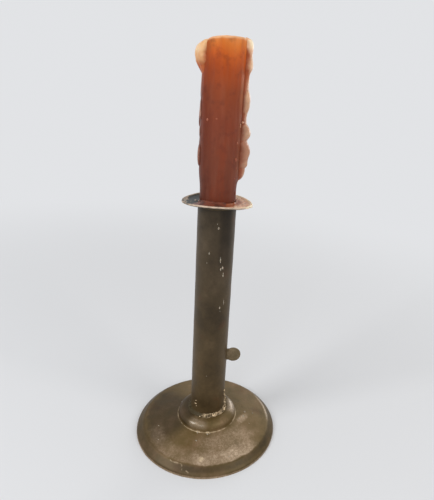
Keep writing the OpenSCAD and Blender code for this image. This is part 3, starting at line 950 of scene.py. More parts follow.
@dataclass
class Workshop:
    """The finishes and the Geometry Nodes trees that the sub-assemblies share."""

    sheet: TurnedSheet = field(default_factory=TurnedSheet)
    beads: BeadsOnPath = field(default_factory=BeadsOnPath)
    drops: DropsOnSurface = field(default_factory=DropsOnSurface)
    cord: TwistedCord = field(default_factory=TwistedCord)
    finishes: dict[str, bpy.types.Material] = field(default_factory=dict)

    def __post_init__(self) -> None:
        """Makes every finish."""
        patina = PatinaGroup()
        iron = (
            IronFinish("foot_iron", tone(80, 66, 30), tone(106, 86, 50), tone(128, 103, 73),
                       bare=tone(160, 134, 108), rubbed=tone(218, 194, 166), residue=tone(200, 178, 146)),
            IronFinish("tube_iron", tone(66, 54, 36), tone(82, 68, 47), tone(98, 82, 60),
                       low_tint=tone(255, 247, 222), high_tint=tone(228, 231, 244)),
            IronFinish("pan_iron", tone(38, 41, 38), tone(50, 54, 50), tone(72, 70, 62),
                       residue=tone(206, 182, 160)),
            IronFinish("tab_iron", tone(72, 61, 40), tone(88, 76, 52), tone(106, 92, 66)),
            IronFinish("slide_iron", tone(92, 84, 72), tone(132, 120, 102), tone(164, 150, 130), relief=0.25),
        )
        for finish in iron:
            self.finishes[finish.name] = finish.material(patina)
        others = (
            SolderFinish(), CandleFinish(), WickFinish(),
            DripFinish("run_wax", tone(226, 178, 140), tone(176, 122, 96), tone(150, 80, 52), 200, 276),
            DripFinish("lobe_wax", tone(226, 178, 126), tone(188, 122, 80), tone(190, 100, 48), 253, 267),
            DripFinish("thin_run_wax", tone(168, 122, 102), tone(140, 94, 76), tone(108, 56, 40), 196, 256),
            DripFinish("nub_wax", tone(168, 98, 72), tone(150, 82, 58), tone(126, 64, 44), 190, 260),
            DripFinish("pan_puddle_wax", tone(226, 190, 158), tone(204, 152, 120), tone(150, 84, 54), 176, 179),
            DripFinish("brown_puddle_wax", tone(116, 62, 44), tone(98, 52, 38), tone(78, 44, 34), 176, 178),
            DripFinish("speck_wax", tone(186, 174, 158), tone(160, 148, 130), tone(112, 98, 80), 0, 180),
        )
        for finish in others:
            self.finishes[finish.name] = finish.material()

    def turned(
        self, name: str, profile: Sequence[Vector], steps: int, finish: str,
        wobble: tuple[float, float] = (0.0, 10.0), lumps: tuple[float, float] = (0.0, 2.0), seed: float = 0.0,
    ) -> bpy.types.Object:
        """Turns a closed profile round the axis.

        Args:
            name: The piece's name.
            profile: Closed profile: radius and height of each point, in millimetres.
            steps: Points round the axis.
            finish: Name of its finish.
            wobble: Height and size of its broad waves, in millimetres.
            lumps: Height and size of its lumps, in millimetres.
            seed: Picks another pattern.

        Returns:
            The piece.
        """
        guide = line_piece(name, [(p[0], 0, p[1]) for p in profile], closed=True)
        return self.sheet.grow(guide, {
            "Steps": steps, "Wobble Height": wobble[0] * MM, "Wobble Size": wobble[1] * MM,
            "Lump Height": lumps[0] * MM, "Lump Size": lumps[1] * MM, "Seed": seed,
            "Material": self.finishes[finish],
        })

    def beaded(
        self, name: str, path: np.ndarray, count: int, size: float, finish: str,
        spread: float = 0.4, stray: float = 0.0, seed: int = 0,
    ) -> bpy.types.Object:
        """Sets beads along a path.

        Args:
            name: The piece's name.
            path: Points of the path, in millimetres.
            count: How many beads.
            size: Middle radius of a bead, in millimetres.
            finish: Name of its finish.
            spread: How much the sizes differ, as a share.
            stray: How far a bead may lie off the path, in millimetres.
            seed: Picks another draw.

        Returns:
            The piece.
        """
        return self.beads.grow(line_piece(name, path), {
            "Count": count, "Bead Size": size * MM, "Size Spread": spread, "Stray": stray * MM, "Seed": seed,
            "Material": self.finishes[finish],
        })

    def dropped(
        self, name: str, drops: Sequence[SurfaceDrop], finish: str, tail: float = 0.6, uneven: float = 0.2
    ) -> bpy.types.Object:
        """Sets drops of wax on a surface.

        Args:
            name: The piece's name.
            drops: Where and how large they are.
            finish: Name of its finish.
            tail: How far each drop narrows upwards, 0 to 1.
            uneven: How far it is off its true shape, in millimetres.

        Returns:
            The piece.
        """
        guide = line_piece(name, [d.place for d in drops])
        guide.data.clear_geometry()
        guide.data.from_pydata([tuple(np.array(d.place) * MM) for d in drops], [], [])
        for label, values in (("turn", [d.turn for d in drops]), ("size", [np.array(d.size) * MM for d in drops])):
            layer = guide.data.attributes.new(label, "FLOAT_VECTOR", "POINT")
            layer.data.foreach_set("vector", np.array(values, np.float32).ravel())
        return self.drops.grow(guide, {
            "Tail": tail, "Unevenness": uneven * MM, "Seed": 3.0, "Material": self.finishes[finish],
        })


@dataclass(frozen=True)
class SurfaceDrop:
    """One small drop that sits on a surface."""

    place: tuple[float, float, float]
    turn: tuple[float, float, float]
    size: tuple[float, float, float]

    @classmethod
    def on_wall(cls, radius: float, degrees: float, height: float, across: float, proud: float, tall: float
                ) -> SurfaceDrop:
        """A drop on an upright round wall.

        Args:
            radius: Radius of the wall.
            degrees: Angle round the axis.
            height: Height of its middle.
            across: Half of its width.
            proud: How far it stands out.
            tall: Half of its height.

        Returns:
            The drop.
        """
        x, y, z = polar(radius, degrees, height)
        return cls((float(x), float(y), float(z)), (0.0, 0.0, math.radians(degrees)), (proud, across, tall))

    @classmethod
    def on_level(cls, x: float, y: float, height: float, size: float, proud: float, turn: float = 0.0
                 ) -> SurfaceDrop:
        """A flat drop on a level surface.

        Args:
            x: Its place along X.
            y: Its place along Y.
            height: Height of the surface.
            size: Half of its width.
            proud: How far it stands up.
            turn: Angle of its longer way, in degrees.

        Returns:
            The drop.
        """
        return cls((x, y, height), (math.pi / 2, 0.0, math.radians(turn)), (size * 0.7, proud, size))


@dataclass
class FootPlate:
    """The pressed round foot with its boss, worn bright where the tallow scraper was handled, with painted highlights,
    a painted reflection and painted shade in its colour.
    """

    foot_d: float = 105.2
    sheet: float = 1.0
    shoulder_h: float = 6.1
    skirt_in: float = 5.0
    edge_band: float = 1.6
    shoulder_r: float = 3.4
    top_rise: float = 4.2
    boss_d: float = 43.8
    boss_h: float = 6.7
    boss_r: float = 5.6
    boss_lean: float = 1.0
    crease_r: float = 0.6
    hole_r: float = 12.6

    @property
    def boss_foot(self) -> float:
        """Height of the foot's top at the boss."""
        return self.shoulder_h + self.top_rise

    @property
    def boss_top(self) -> float:
        """Height of the boss's top."""
        return self.boss_foot + self.boss_h

    def profile(self) -> list[Vector]:
        """The sheet's closed outline, from the hole for the tube to the edge and back."""
        foot_r, boss_r = self.foot_d / 2, self.boss_d / 2
        path = rounded_path([
            (self.hole_r, self.boss_top, 0),
            (boss_r - self.boss_lean, self.boss_top, self.boss_r),
            (boss_r, self.boss_foot, self.crease_r),
            (foot_r - self.skirt_in, self.shoulder_h, self.shoulder_r),
            (foot_r, self.edge_band, self.edge_band * 2),
            (foot_r, 0, 0),
        ])
        outer = spaced(path, 0.62)
        inner = spaced(beside(path, self.sheet), 1.6)
        return outer + inner[::-1]

    def marks(self, points: np.ndarray) -> dict[str, np.ndarray]:
        """Where the foot is rubbed bright, where highlights and a reflection are painted, where pale residue and
        painted glints lie, where painted shade lies and where it shines.

        Args:
            points: The foot's points.

        Returns:
            The four masks by name, 0 to 1.
        """
        radius = np.hypot(points[:, 0], points[:, 1])
        degrees = np.degrees(np.arctan2(points[:, 1], points[:, 0]))
        ragged = 1.6 * grain(points, 8, 3) + 0.9 * grain(points, 2.5, 4)
        edge = self.foot_d / 2 - self.skirt_in
        top = 1 - ease((radius - edge + 1.2 + 0.5 * ragged) / 1.3)
        # Front patch: rubbed bright metal together with a painted reflection of a light behind the foot.
        patch = band(angle_from(degrees, -72), 0, 18, 26) * band(radius + 1.6 * ragged, 44.2, 2.6, 9)
        inside = band(angle_from(degrees, -62), 0, 20, 28) * band(radius + 2 * ragged, 33, 4, 10) * 0.45
        across = points @ np.array((0.55, 0.835, 0.0)) - 10.5
        along = points @ np.array((0.835, -0.55, 0.0)) - 26.0
        side = band(along + 0.8 * ragged, 0, 0.9, 2.6) * band(across + ragged, 0, 3.0, 4) * 0.65
        hand = band(angle_from(degrees, -147), 0, 3, 16) * band(radius + 1.5 * ragged, 40.5, 1.5, 6) * 0.24
        left = band(angle_from(degrees, -116), 0, 12, 18) * band(radius + ragged, 44, 2, 7) * 0.3
        # Painted highlight along the shoulder at the right.
        light = band(angle_from(degrees, 14), 0, 10, 12) * band(radius, edge - 0.4, 0.3, 1.2) * 0.34
        worn_edge = band(points[:, 2], 0.5, 0.4, 0.7) * (radius > self.foot_d / 2 - 0.4) * 0.55
        wear_and_sheen = np.maximum.reduce([patch, inside, side, hand, left]) * top
        crease = band(radius, self.boss_d / 2 + 0.2, 0.1, 0.5) * band(points[:, 2], self.boss_foot + 0.1, 0.8, 0.5)
        lumps = band(angle_from(degrees, -105), 0, 2, 2) + band(angle_from(degrees, -87), 0, 2, 2)
        lumps = lumps + 0.5 * band(angle_from(degrees, 132), 0, 12, 10)
        crease = crease * np.clip(0.52 + 0.2 * ragged + 0.4 * lumps, 0, 1)
        scuffs = np.zeros(len(points))
        for start, end, width in SCRATCHES:
            a, b = np.array(start), np.array(end)
            along = np.clip(((points[:, :2] - a) @ (b - a)) / ((b - a) @ (b - a)), 0, 1)
            gap = np.hypot(*(points[:, :2] + 0.5 * ragged[:, None] - a - along[:, None] * (b - a)).T)
            scuffs = np.maximum(scuffs, (1 - ease(gap / (1.2 * width))) * ease(points[:, 2] / 2))
        haze = band(angle_from(degrees, -112), 0, 8, 12) * band(radius, 48.6, 1.6, 2) * 0.22 * (points[:, 2] > 2)
        fine = grain(points, 1.1, 12)
        # Painted highlight spot and painted glints in the front patch, put in the pale mask.
        blob = 1 - ease((np.hypot(points[:, 0] + 2.3, points[:, 1] + 42.4) + 1.2 * fine + 0.8 * ragged - 0.4) / 2.2)
        flecks = 0.5 * patch * ease((fine - 0.62) / 0.3)
        on_top = points[:, 2] > 3
        pale = [crease, scuffs * np.clip(0.55 + 0.35 * ragged, 0.1, 0.8), haze, 0.85 * blob * on_top, flecks * on_top]
        pale = np.maximum.reduce(pale)
        # Painted shadow of the tube over the left of the top.
        dark = band(angle_from(degrees, 180), 0, 30, 28) * band(radius + 1.5 * ragged, 33, 9, 8) * 0.62
        # Painted shade on the sloping skirt, deeper at its left and front.
        skirt = ease((radius - edge + 0.9) / 2.2) * (0.34 + 0.2 * band(angle_from(degrees, 196), 0, 50, 40))
        skirt = np.maximum(skirt, 0.45 * ease((radius - edge + 4) / 4) * band(angle_from(degrees, 184), 0, 34, 30))
        skirt = skirt + 0.2 * band(radius, edge + 1.2, 1.2, 1.5) * band(angle_from(degrees, -66), 0, 34, 20)
        dome = ease((points[:, 2] - self.boss_foot - 0.6) / 1.5) * (radius < self.boss_d / 2)
        # Painted shade over the boss's left.
        boss = dome * (0.12 + 0.55 * band(angle_from(degrees, 188), 0, 32, 34))
        # Painted highlights on the boss, at its front left and its right: lighter colour, less painted shade and a
        # gloss coat.
        glow = dome * band(angle_from(degrees, -108), 0, 10, 15) * band(radius, 17.8, 2.2, 3.4)
        bright = dome * band(angle_from(degrees, 2), 0, 12, 16) * band(radius, 18.5, 1.5, 2.5)
        # The worn mask also takes the painted highlights; every part of the shade mask is painted shade.
        wear_and_sheen = np.maximum.reduce([wear_and_sheen * (1 - dome), light, worn_edge, 0.15 * glow, 0.5 * bright])
        shade = np.maximum.reduce([dark, skirt * (1 - worn_edge), boss * (1 - 0.6 * glow)])
        polish = np.maximum.reduce([glow, 0.8 * bright, light])
        return {"wear_and_sheen": wear_and_sheen, "pale": pale, "shade": shade, "polish": polish}

    def build(self, workshop: Workshop) -> None:
        """Makes the foot.

        Args:
            workshop: The shared finishes and trees.
        """
        foot = workshop.turned("foot_plate", self.profile(), 400, "foot_iron", wobble=(0.22, 26), seed=2.0)
        points = points_of(foot)
        marks = self.marks(points)
        pits = np.maximum(0, grain(points, 1.0, 7)) * marks["wear_and_sheen"]
        dents = grain(points, 6, 8) * 0.1
        points[:, 2] += np.where(points[:, 2] > 1.2, dents - 0.2 * pits + 0.1 * marks["pale"], 0)
        points[:, 2] = np.maximum(points[:, 2], 0)
        move_points(foot, points)
        for name, values in marks.items():
            paint(foot, name, values)
        place(foot, Body.STICK, Slot.DARK_IRON, "base_plate")
        crumbs = [
            self.crumb(22.4, -105, 0.9, 0.5), self.crumb(23.2, -87, 0.9, 0.5), self.crumb(22.7, -83, 0.5, 0.3),
            self.crumb(28.9, -103, 0.7, 0.25), self.crumb(22.9, 150, 0.8, 0.4), self.crumb(29.6, 4, 1.0, 0.35),
            self.crumb(28.4, -6, 0.8, 0.3), self.crumb(25.6, -15, 0.6, 0.25), self.crumb(33.9, -17, 0.5, 0.2),
            self.crumb(37.2, -160, 0.6, 0.2),
            self.crumb(43.6, -67, 0.5, 0.25), self.crumb(42.0, -143, 0.5, 0.25),
            self.crumb(30.9, -40, 0.4, 0.2), self.crumb(35.8, 3, 0.4, 0.2),
        ]
        specks = workshop.dropped("foot_crumbs", crumbs, "speck_wax", tail=0.1, uneven=0.35)
        place(specks, Body.STICK, Slot.PALE_WAX)

    def crumb(self, radius: float, degrees: float, size: float, proud: float) -> SurfaceDrop:
        """A crumb on the foot's sloping top, at a radius and an angle."""
        out = self.foot_d / 2 - self.skirt_in - self.boss_d / 2
        height = self.boss_foot - self.top_rise * (radius - self.boss_d / 2) / out
        x, y, _ = polar(radius, degrees, 0.0)
        return SurfaceDrop.on_level(float(x), float(y), height, size, proud, 7 * radius)


SCRATCHES = (
    ((-25.8, -39.5), (-21.8, -43.0), 0.5), ((-23.4, -39.6), (-20.6, -41.4), 0.4), ((-21.8, -43.0), (-15.4, -45.5), 0.4),
    ((-15.0, -45.6), (-14.4, -47.8), 0.5), ((-12.2, -47.4), (-9.9, -47.0), 0.45), ((-11.4, -48.8), (-10.2, -49.8), 0.5),
    ((-9.4, -45.0), (-7.4, -45.7), 0.4), ((-33.2, -25.8), (-31.4, -19.3), 0.5), ((-38.2, -21.9), (-35.0, -24.0), 0.5),
    ((13.9, -47.3), (14.4, -48.6), 0.9), ((23.6, -19.2), (24.4, -22.0), 0.6), ((30.4, 3.2), (31.6, 4.2), 0.8),
    ((26.6, -4.4), (27.4, -3.4), 0.7), ((-3.4, -41.0), (-1.8, -42.6), 1.0), ((-5.8, -40.0), (-4.8, -41.4), 0.6),
    ((-0.6, -39.6), (-1.4, -41.2), 0.5),
)


@dataclass
class Shaft:
    """The rolled tube with its slot, its lapped seam and the ring that holds it under the boss."""

    outer_r: float = 12.5
    sheet: float = 0.8
    bottom: float = from_frame(low_of, "shaft")
    top: float = from_frame(high_of, "shaft")
    flare_r: float = 14.9
    slot_half: float = 0.95
    slot_low: float = 58.1
    slot_high: float = 157.9
    lap_middle: float = 90.0
    lap_half: float = 16.04
    lap_t: float = 0.5
    lap_low: float = from_frame(low_of, "seam_braze")
    lap_high: float = from_frame(high_of, "seam_braze")

    def angles(self, radius: float) -> np.ndarray:
        """Angles of the upright lines on one wall, starting at the slot."""
        edge = math.degrees(math.asin(self.slot_half / radius))
        rest = np.linspace(edge, 360 - edge, 181)
        return np.concatenate([rest, [360.0]])

    def heights(self) -> np.ndarray:
        """Heights of the level lines on the plain tube."""
        marks = [self.bottom + self.sheet, self.lap_low, self.slot_low, self.slot_high, self.lap_high, self.top - 0.3]
        rows = [marks[0]]
        for low, high in zip(marks, marks[1:]):
            count = max(1, round((high - low) / 1.5))
            rows += [low + (high - low) * (i + 1) / count for i in range(count)]
        return np.array(rows)

    def build(self, workshop: Workshop) -> None:
        """Makes the tube and its drips.

        Args:
            workshop: The shared finishes and trees.
        """
        bore = self.outer_r - self.sheet
        heights = self.heights()
        plain = [(self.outer_r, z) for z in heights]
        low = [(self.flare_r, self.bottom), (self.flare_r, self.bottom + self.sheet - 0.05)]
        high = [(self.outer_r - 0.06, self.top - 0.12), (self.outer_r - 0.25, self.top)]
        rings = np.array(low + plain + high)
        turns = self.angles(self.outer_r)
        lap = band(angle_from(turns, self.lap_middle), 0, self.lap_half - 1.2, 1.6) * self.lap_t
        lap_rise = ease((rings[:, 1] - self.lap_low) / 1.5) * ease((self.lap_high - rings[:, 1]) / 1.5)
        outer = polar(rings[:, :1] + 0.0 * turns, turns, rings[:, 1:])
        radius = rings[:, :1] + lap_rise[:, None] * lap[None, :]
        free = ease((rings[:, 1:] - 20) / 6) * ease((self.top - 4 - rings[:, 1:]) / 6)
        radius = radius + free * (0.09 * grain(outer, 14, 1) + 0.05 * grain(outer, 4, 2))
        outer = polar(radius, turns, rings[:, 1:])
        inner_rows = np.clip(rings[:, 1:], self.bottom, self.top)
        inner = polar(np.full_like(inner_rows, bore) + 0.0 * turns, self.angles(bore), inner_rows)
        cut = np.zeros((len(rings) - 1, len(turns)), bool)
        middles = (rings[:-1, 1] + rings[1:, 1]) / 2
        in_slot = (middles > self.slot_low) & (middles < self.slot_high)
        cut[in_slot, -1] = True
        cut[in_slot, -2] = True
        tube = shell("tube", outer, inner, closed=True, cut=cut)
        dress(tube, workshop.finishes["tube_iron"])
        tube.data.set_sharp_from_angle(angle=math.radians(50))
        self.finish_tube(tube)
        place(tube, Body.STICK, Slot.DARK_IRON, "shaft")
        self.build_drips(workshop)

    def finish_tube(self, tube: bpy.types.Object) -> None:
        """Paints the tube's rubbed edges, residue, painted dark reflection bands and painted shade under the pan."""
        points = points_of(tube)
        degrees = np.degrees(np.arctan2(points[:, 1], points[:, 0]))
        height = points[:, 2]
        ragged = grain(points, 5, 5, 4)
        slot = band(np.abs(points[:, 1]), self.slot_half, 0.25, 0.5) * (points[:, 0] > 0)
        slot = slot * band(height, (self.slot_low + self.slot_high) / 2, 50, 1.5)
        rim = ease((height - self.top + 0.8) / 0.5)
        wear_and_sheen = np.maximum(slot * 0.6, rim * 0.6)
        # Painted dark reflection bands down the tube, and painted shade just under the pan.
        upper = ease((height - 105) / 55)
        stripe = band(angle_from(degrees, -60) + 6 * ragged, 0, 7, 28) * upper * 0.62
        stripe_low = band(angle_from(degrees, -82) + 5 * ragged, 0, 12, 32) * 0.2
        under_pan = ease((height - 171) / 4) * 0.35
        shade = np.maximum.reduce([stripe, stripe_low, under_pan])
        lap_edge = band(angle_from(degrees, self.lap_middle), self.lap_half, 1.5, 1.5)
        paint(tube, "wear_and_sheen", wear_and_sheen)
        paint(tube, "pale", 0.3 * lap_edge)
        paint(tube, "shade", shade)

    def build_drips(self, workshop: Workshop) -> None:
        """Sets the small wax drips that the candle left on the tube."""
        wall = SurfaceDrop.on_wall
        radius = self.outer_r
        drips = [
            wall(radius, -82, 162.9, 0.75, 0.45, 0.85), wall(radius, -87, 165.7, 0.25, 0.1, 0.4),
            wall(radius, -107, 145.8, 0.42, 0.16, 0.9), wall(radius, -113, 138.9, 0.35, 0.15, 0.4),
            wall(radius, -72, 141.4, 0.36, 0.16, 2.4), wall(radius, -64, 135.8, 0.75, 0.5, 1.0),
            wall(radius, -70, 135.0, 0.42, 0.2, 1.1), wall(radius, -61, 130.9, 0.5, 0.3, 1.7),
            wall(radius, -66, 106.8, 0.5, 0.3, 1.0), wall(radius, -53, 110.2, 0.25, 0.14, 2.0),
            wall(radius, -64, 103.9, 0.28, 0.12, 0.5), wall(radius, -97, 52.4, 0.6, 0.12, 0.5),
            wall(radius, 35, 150.0, 0.6, 0.4, 1.6), wall(radius, 28, 138.0, 0.45, 0.3, 0.9),
            wall(radius, 130, 120.0, 0.5, 0.3, 1.4), wall(radius, 48, 92.0, 0.4, 0.25, 0.8),
        ]
        piece = workshop.dropped("tube_drips", drips, "speck_wax", tail=0.5, uneven=0.18)
        paint(piece, "thin", 0.5 + 0.6 * grain(points_of(piece), 1.2, 3))
        place(piece, Body.STICK, Slot.PALE_WAX)


@dataclass
class SolderWork:
    """The solder at the tube's foot and under the pan, and the braze along the lapped seam."""

    tube_r: float = 12.5
    boss_top: float = from_frame(high_of, "base_plate")
    foot_w: float = 2.2
    foot_h: float = 2.3
    pan_under: float = from_frame(high_of, "pan_solder")
    pan_w: float = 1.8
    braze_w: float = 0.7
    lap_edge: float = 106.1
    lap_low: float = from_frame(low_of, "seam_braze")
    lap_high: float = from_frame(high_of, "seam_braze")

    def fillet(self, height: float, wide: float, tall: float) -> list[Vector]:
        """Outline of a hollow fillet.

        Args:
            height: Height of the corner that it fills.
            wide: Its width.
            tall: Its height, below the corner where this is negative.

        Returns:
            The closed outline.
        """
        arc = [
            Vector((self.tube_r + wide * (1 - math.sin(a)), height + tall * (1 - math.cos(a))))
            for a in np.radians(np.linspace(0, 90, 13))
        ]
        sink = -0.15 if tall > 0 else 0.15
        return spaced([Vector((self.tube_r - 0.3, height + sink)), arc[0] + Vector((0, sink)), *arc[1:-1],
                       arc[-1] - Vector((0.3, 0))], 0.5)

    def build(self, workshop: Workshop) -> None:
        """Makes the solder and the braze.

        Args:
            workshop: The shared finishes and trees.
        """
        foot = workshop.turned(
            "foot_solder_fillet", self.fillet(self.boss_top, self.foot_w, self.foot_h), 260, "lumpy_solder",
            wobble=(0.25, 6), lumps=(0.32, 1.7), seed=4.0,
        )
        points = points_of(foot)
        degrees = np.degrees(np.arctan2(points[:, 1], points[:, 0]))
        # Painted highlight on the fillet's front and right, as on lit solder; painted shade over the rest.
        bright = band(angle_from(degrees, -42), 0, 52, 18) * (0.6 + 0.6 * np.abs(grain(points, 1.6, 3)))
        paint(foot, "wear_and_sheen", bright)
        paint(foot, "shade", 0.95 * (1 - ease(bright / 0.4)))
        place(foot, Body.STICK, Slot.SOLDER, "foot_solder")
        beads = (
            ("foot_solder_front", -114, -80, 0.4, 0.4, 12, 0.6, 0.9),
            ("foot_solder_right", -84, 40, 0.6, 1.6, 46, 0.5, 1.0),
            ("foot_solder_left", 188, 236, 0.8, 0.7, 9, 0.36, 0.4),
            ("foot_solder_back", 48, 180, 0.8, 0.8, 20, 0.4, 0.4),
        )
        for number, (name, start, end, low, high, count, size, stray) in enumerate(beads):
            turns = np.linspace(start, end, 24)
            path = polar(self.tube_r + 0.75, turns, self.boss_top + np.linspace(low, high, 24))
            piece = workshop.beaded(name, path, count, size, "lumpy_solder", 0.5, stray, number)
            points = points_of(piece)
            # Painted highlights in random strength on the front and right beads; painted shade on the left and back
            # beads.
            rubbed = 0.55 + 0.9 * grain(points, 3.2, 21) if number < 2 else np.full(len(points), 0.1)
            paint(piece, "wear_and_sheen", rubbed)
            paint(piece, "shade", np.full(len(points), 0.0 if number < 2 else 0.7))
            place(piece, Body.STICK, Slot.SOLDER)
        climbs = (
            ("solder_climb_left", (-126, -128, -133), (32.5, 28.0, 21.5), 8, 0.4, 1.1, 11),
            ("solder_climb_right", (-17, -14, -10, -6), (34.5, 30, 26, 19.5), 10, 0.5, 0.8, 12),
        )
        for name, turns, heights, count, size, stray, seed in climbs:
            path = polar(self.tube_r + 0.02, np.array(turns, float), np.array(heights, float))
            piece = workshop.beaded(name, path, count, size, "lumpy_solder", 0.45, stray, seed)
            paint(piece, "wear_and_sheen", np.full(len(piece.data.vertices), 0.8))
            place(piece, Body.STICK, Slot.SOLDER)
        under = workshop.turned(
            "pan_solder_fillet", self.fillet(self.pan_under, self.pan_w, -self.pan_w), 200, "lumpy_solder",
            wobble=(0.15, 6), lumps=(0.15, 1.5), seed=7.0,
        )
        paint(under, "wear_and_sheen", np.zeros(len(under.data.vertices)))
        place(under, Body.STICK, Slot.SOLDER, "pan_solder")
        heights = np.linspace(self.lap_low, self.lap_high, 60)
        path = polar(self.tube_r + 0.1, self.lap_edge + 1.2 + 0.5 * np.sin(heights / 9), heights)
        seam = workshop.beaded("seam_braze_beads", path, 190, self.braze_w * 0.75, "lumpy_solder", 0.3, 0.1, 5)
        paint(seam, "wear_and_sheen", np.full(len(seam.data.vertices), 0.2))
        place(seam, Body.STICK, Slot.SOLDER, "seam_braze")


@dataclass
class DripPan:
    """The flat drip pan with its turned-up edge, and the wax that set on it."""

    hole_r: float = 12.6
    pan_d: float = 45.6
    sheet: float = 0.9
    floor: float = 176.9
    tube_top: float = from_frame(high_of, "shaft")
    dish: float = 0.9
    edge_w: float = 2.0
    mouth_r: float = 11.8
    bent_up: float = 0.44
    saddle: float = 0.94
    lean: tuple[float, float] = (-0.2, -0.05)

    @property
    def lip_r(self) -> float:
        """Radius of the lip's upper edge."""
        return self.pan_d / 2 - self.sheet * math.sin(math.atan2(self.dish, self.edge_w))

    def floor_at(self, radius: np.ndarray) -> np.ndarray:
        """Height of the pan's upper face at a radius."""
        return self.floor + self.dish * ease((radius - self.lip_r + self.edge_w) / self.edge_w * 0.9)

    def bend(self, radius: np.ndarray, degrees: np.ndarray) -> np.ndarray:
        """How far the thin pan is bent off true: up at its front and back, and down at its sides."""
        turn = np.radians(degrees)
        up = self.bent_up - self.saddle * np.cos(2 * turn) + self.lean[0] * np.cos(turn) + self.lean[1] * np.sin(turn)
        return up * ease((radius - 14.2) / 8.0)

    def build(self, workshop: Workshop) -> None:
        """Makes the pan and its wax.

        Args:
            workshop: The shared finishes and trees.
        """
        lip = self.lip_r
        path = rounded_path([
            (self.hole_r, self.floor, 0), (lip - self.edge_w, self.floor, self.edge_w / 2),
            (lip, self.floor + self.dish, 0),
        ])
        inner = beside(path, self.sheet)
        end_out, end_in = path[-1], inner[-1]
        across = (end_in - end_out) / 4
        outward_way = (path[-1] - path[-2]).normalized() * 0.16
        rim = [end_out + across * 0.8 + outward_way, end_out + across * 2 + outward_way * 1.3,
               end_out + across * 3.2 + outward_way]
        profile = spaced(path, 0.5) + rim + spaced(inner, 0.7)[::-1]
        pan = workshop.turned("drip_pan_sheet", profile, 320, "pan_iron", wobble=(0.28, 15), seed=6.0)
        points = points_of(pan)
        radius = np.hypot(points[:, 0], points[:, 1])
        degrees = np.degrees(np.arctan2(points[:, 1], points[:, 0]))
        points[:, 2] += self.bend(radius, degrees)
        ragged = grain(points, 3, 6)
        left = band(angle_from(degrees, 190), 0, 22, 22)
        edge = ease((radius - lip + 1.0 + (1.4 + ragged) * left) / 0.6)
        warm = band(angle_from(degrees, -30), 0, 60, 40)
        move_points(pan, points)
        paint(pan, "pale", edge * (0.85 + 0.4 * ragged - 0.25 * left) + 0.25 * ease(ragged - 0.2) * warm)
        paint(pan, "wear_and_sheen", 0.25 * ease((radius - 20) / 2))
        # Painted shade over the pan's left, inside the rim.
        paint(pan, "shade", band(angle_from(degrees, 180), 0, 60, 30) * (1 - edge) * 0.45)
        place(pan, Body.STICK, Slot.WORN_IRON, "drip_pan")
        self.build_puddle(workshop)
        self.build_specks(workshop)

    def puddle(
        self, name: str, ends: tuple[float, float], out: Callable[[np.ndarray], np.ndarray],
        depth: float, lump: float, climb: float, fades: tuple[float, float],
    ) -> bpy.types.Object:
        """Makes a puddle of set wax on the pan, against the candle.

        Args:
            name: The piece's name.
            ends: Angles at which it starts and ends.
            out: How far it reaches past the pan's lip, by angle.
            depth: Its depth between its lumps.
            lump: Height of its lumps.
            climb: How much higher it stands against the candle.
            fades: The angles over which it narrows towards its start and its end.

        Returns:
            The piece.
        """
        start, end = ends
        turns = np.linspace(start, end, round(end - start))
        part = np.linspace(0, 1, 44)[:, None]
        outline = polar(18, turns, 177.0)
        taper = ease((turns - start) / fades[0]) * ease((end - turns) / fades[1])
        reach = self.lip_r + out(turns) + 0.35 * grain(outline, 5, 4) + 0.25 * grain(outline, 1.8, 5)
        reach = self.hole_r + 1.2 + (reach - self.hole_r - 1.2) * taper ** 0.5
        radius = self.mouth_r + (reach - self.mouth_r) * part
        flat = polar(radius, turns, 177.0)
        lumps = np.clip(0.45 + 0.5 * grain(flat, 2.6, 7) + 0.25 * grain(flat, 1.2, 8), 0, 1.5) * lump
        against_candle = climb * (1 - ease(part / 0.55))
        shape = (depth + lumps + against_candle) * np.sqrt(1 - part ** 6) * (0.3 + 0.7 * taper)
        thin = np.minimum(1, np.minimum(turns - start, end - turns) / 2)
        floor = self.floor_at(radius) - 0.12 + self.bend(radius, turns)
        floor = floor - 0.8 * ease((radius - self.lip_r - 0.1) / 0.5)
        on_tube = radius < self.hole_r + 0.15
        under = np.where(on_tube, self.tube_top + 0.03, floor)
        rise = np.maximum(0.06, self.tube_top + 0.12 - under) * on_tube
        top = polar(radius, turns, under + np.maximum(rise, shape * thin) + 0.02)
        return shell(name, top, polar(radius, turns, under - 0.02), closed=False)

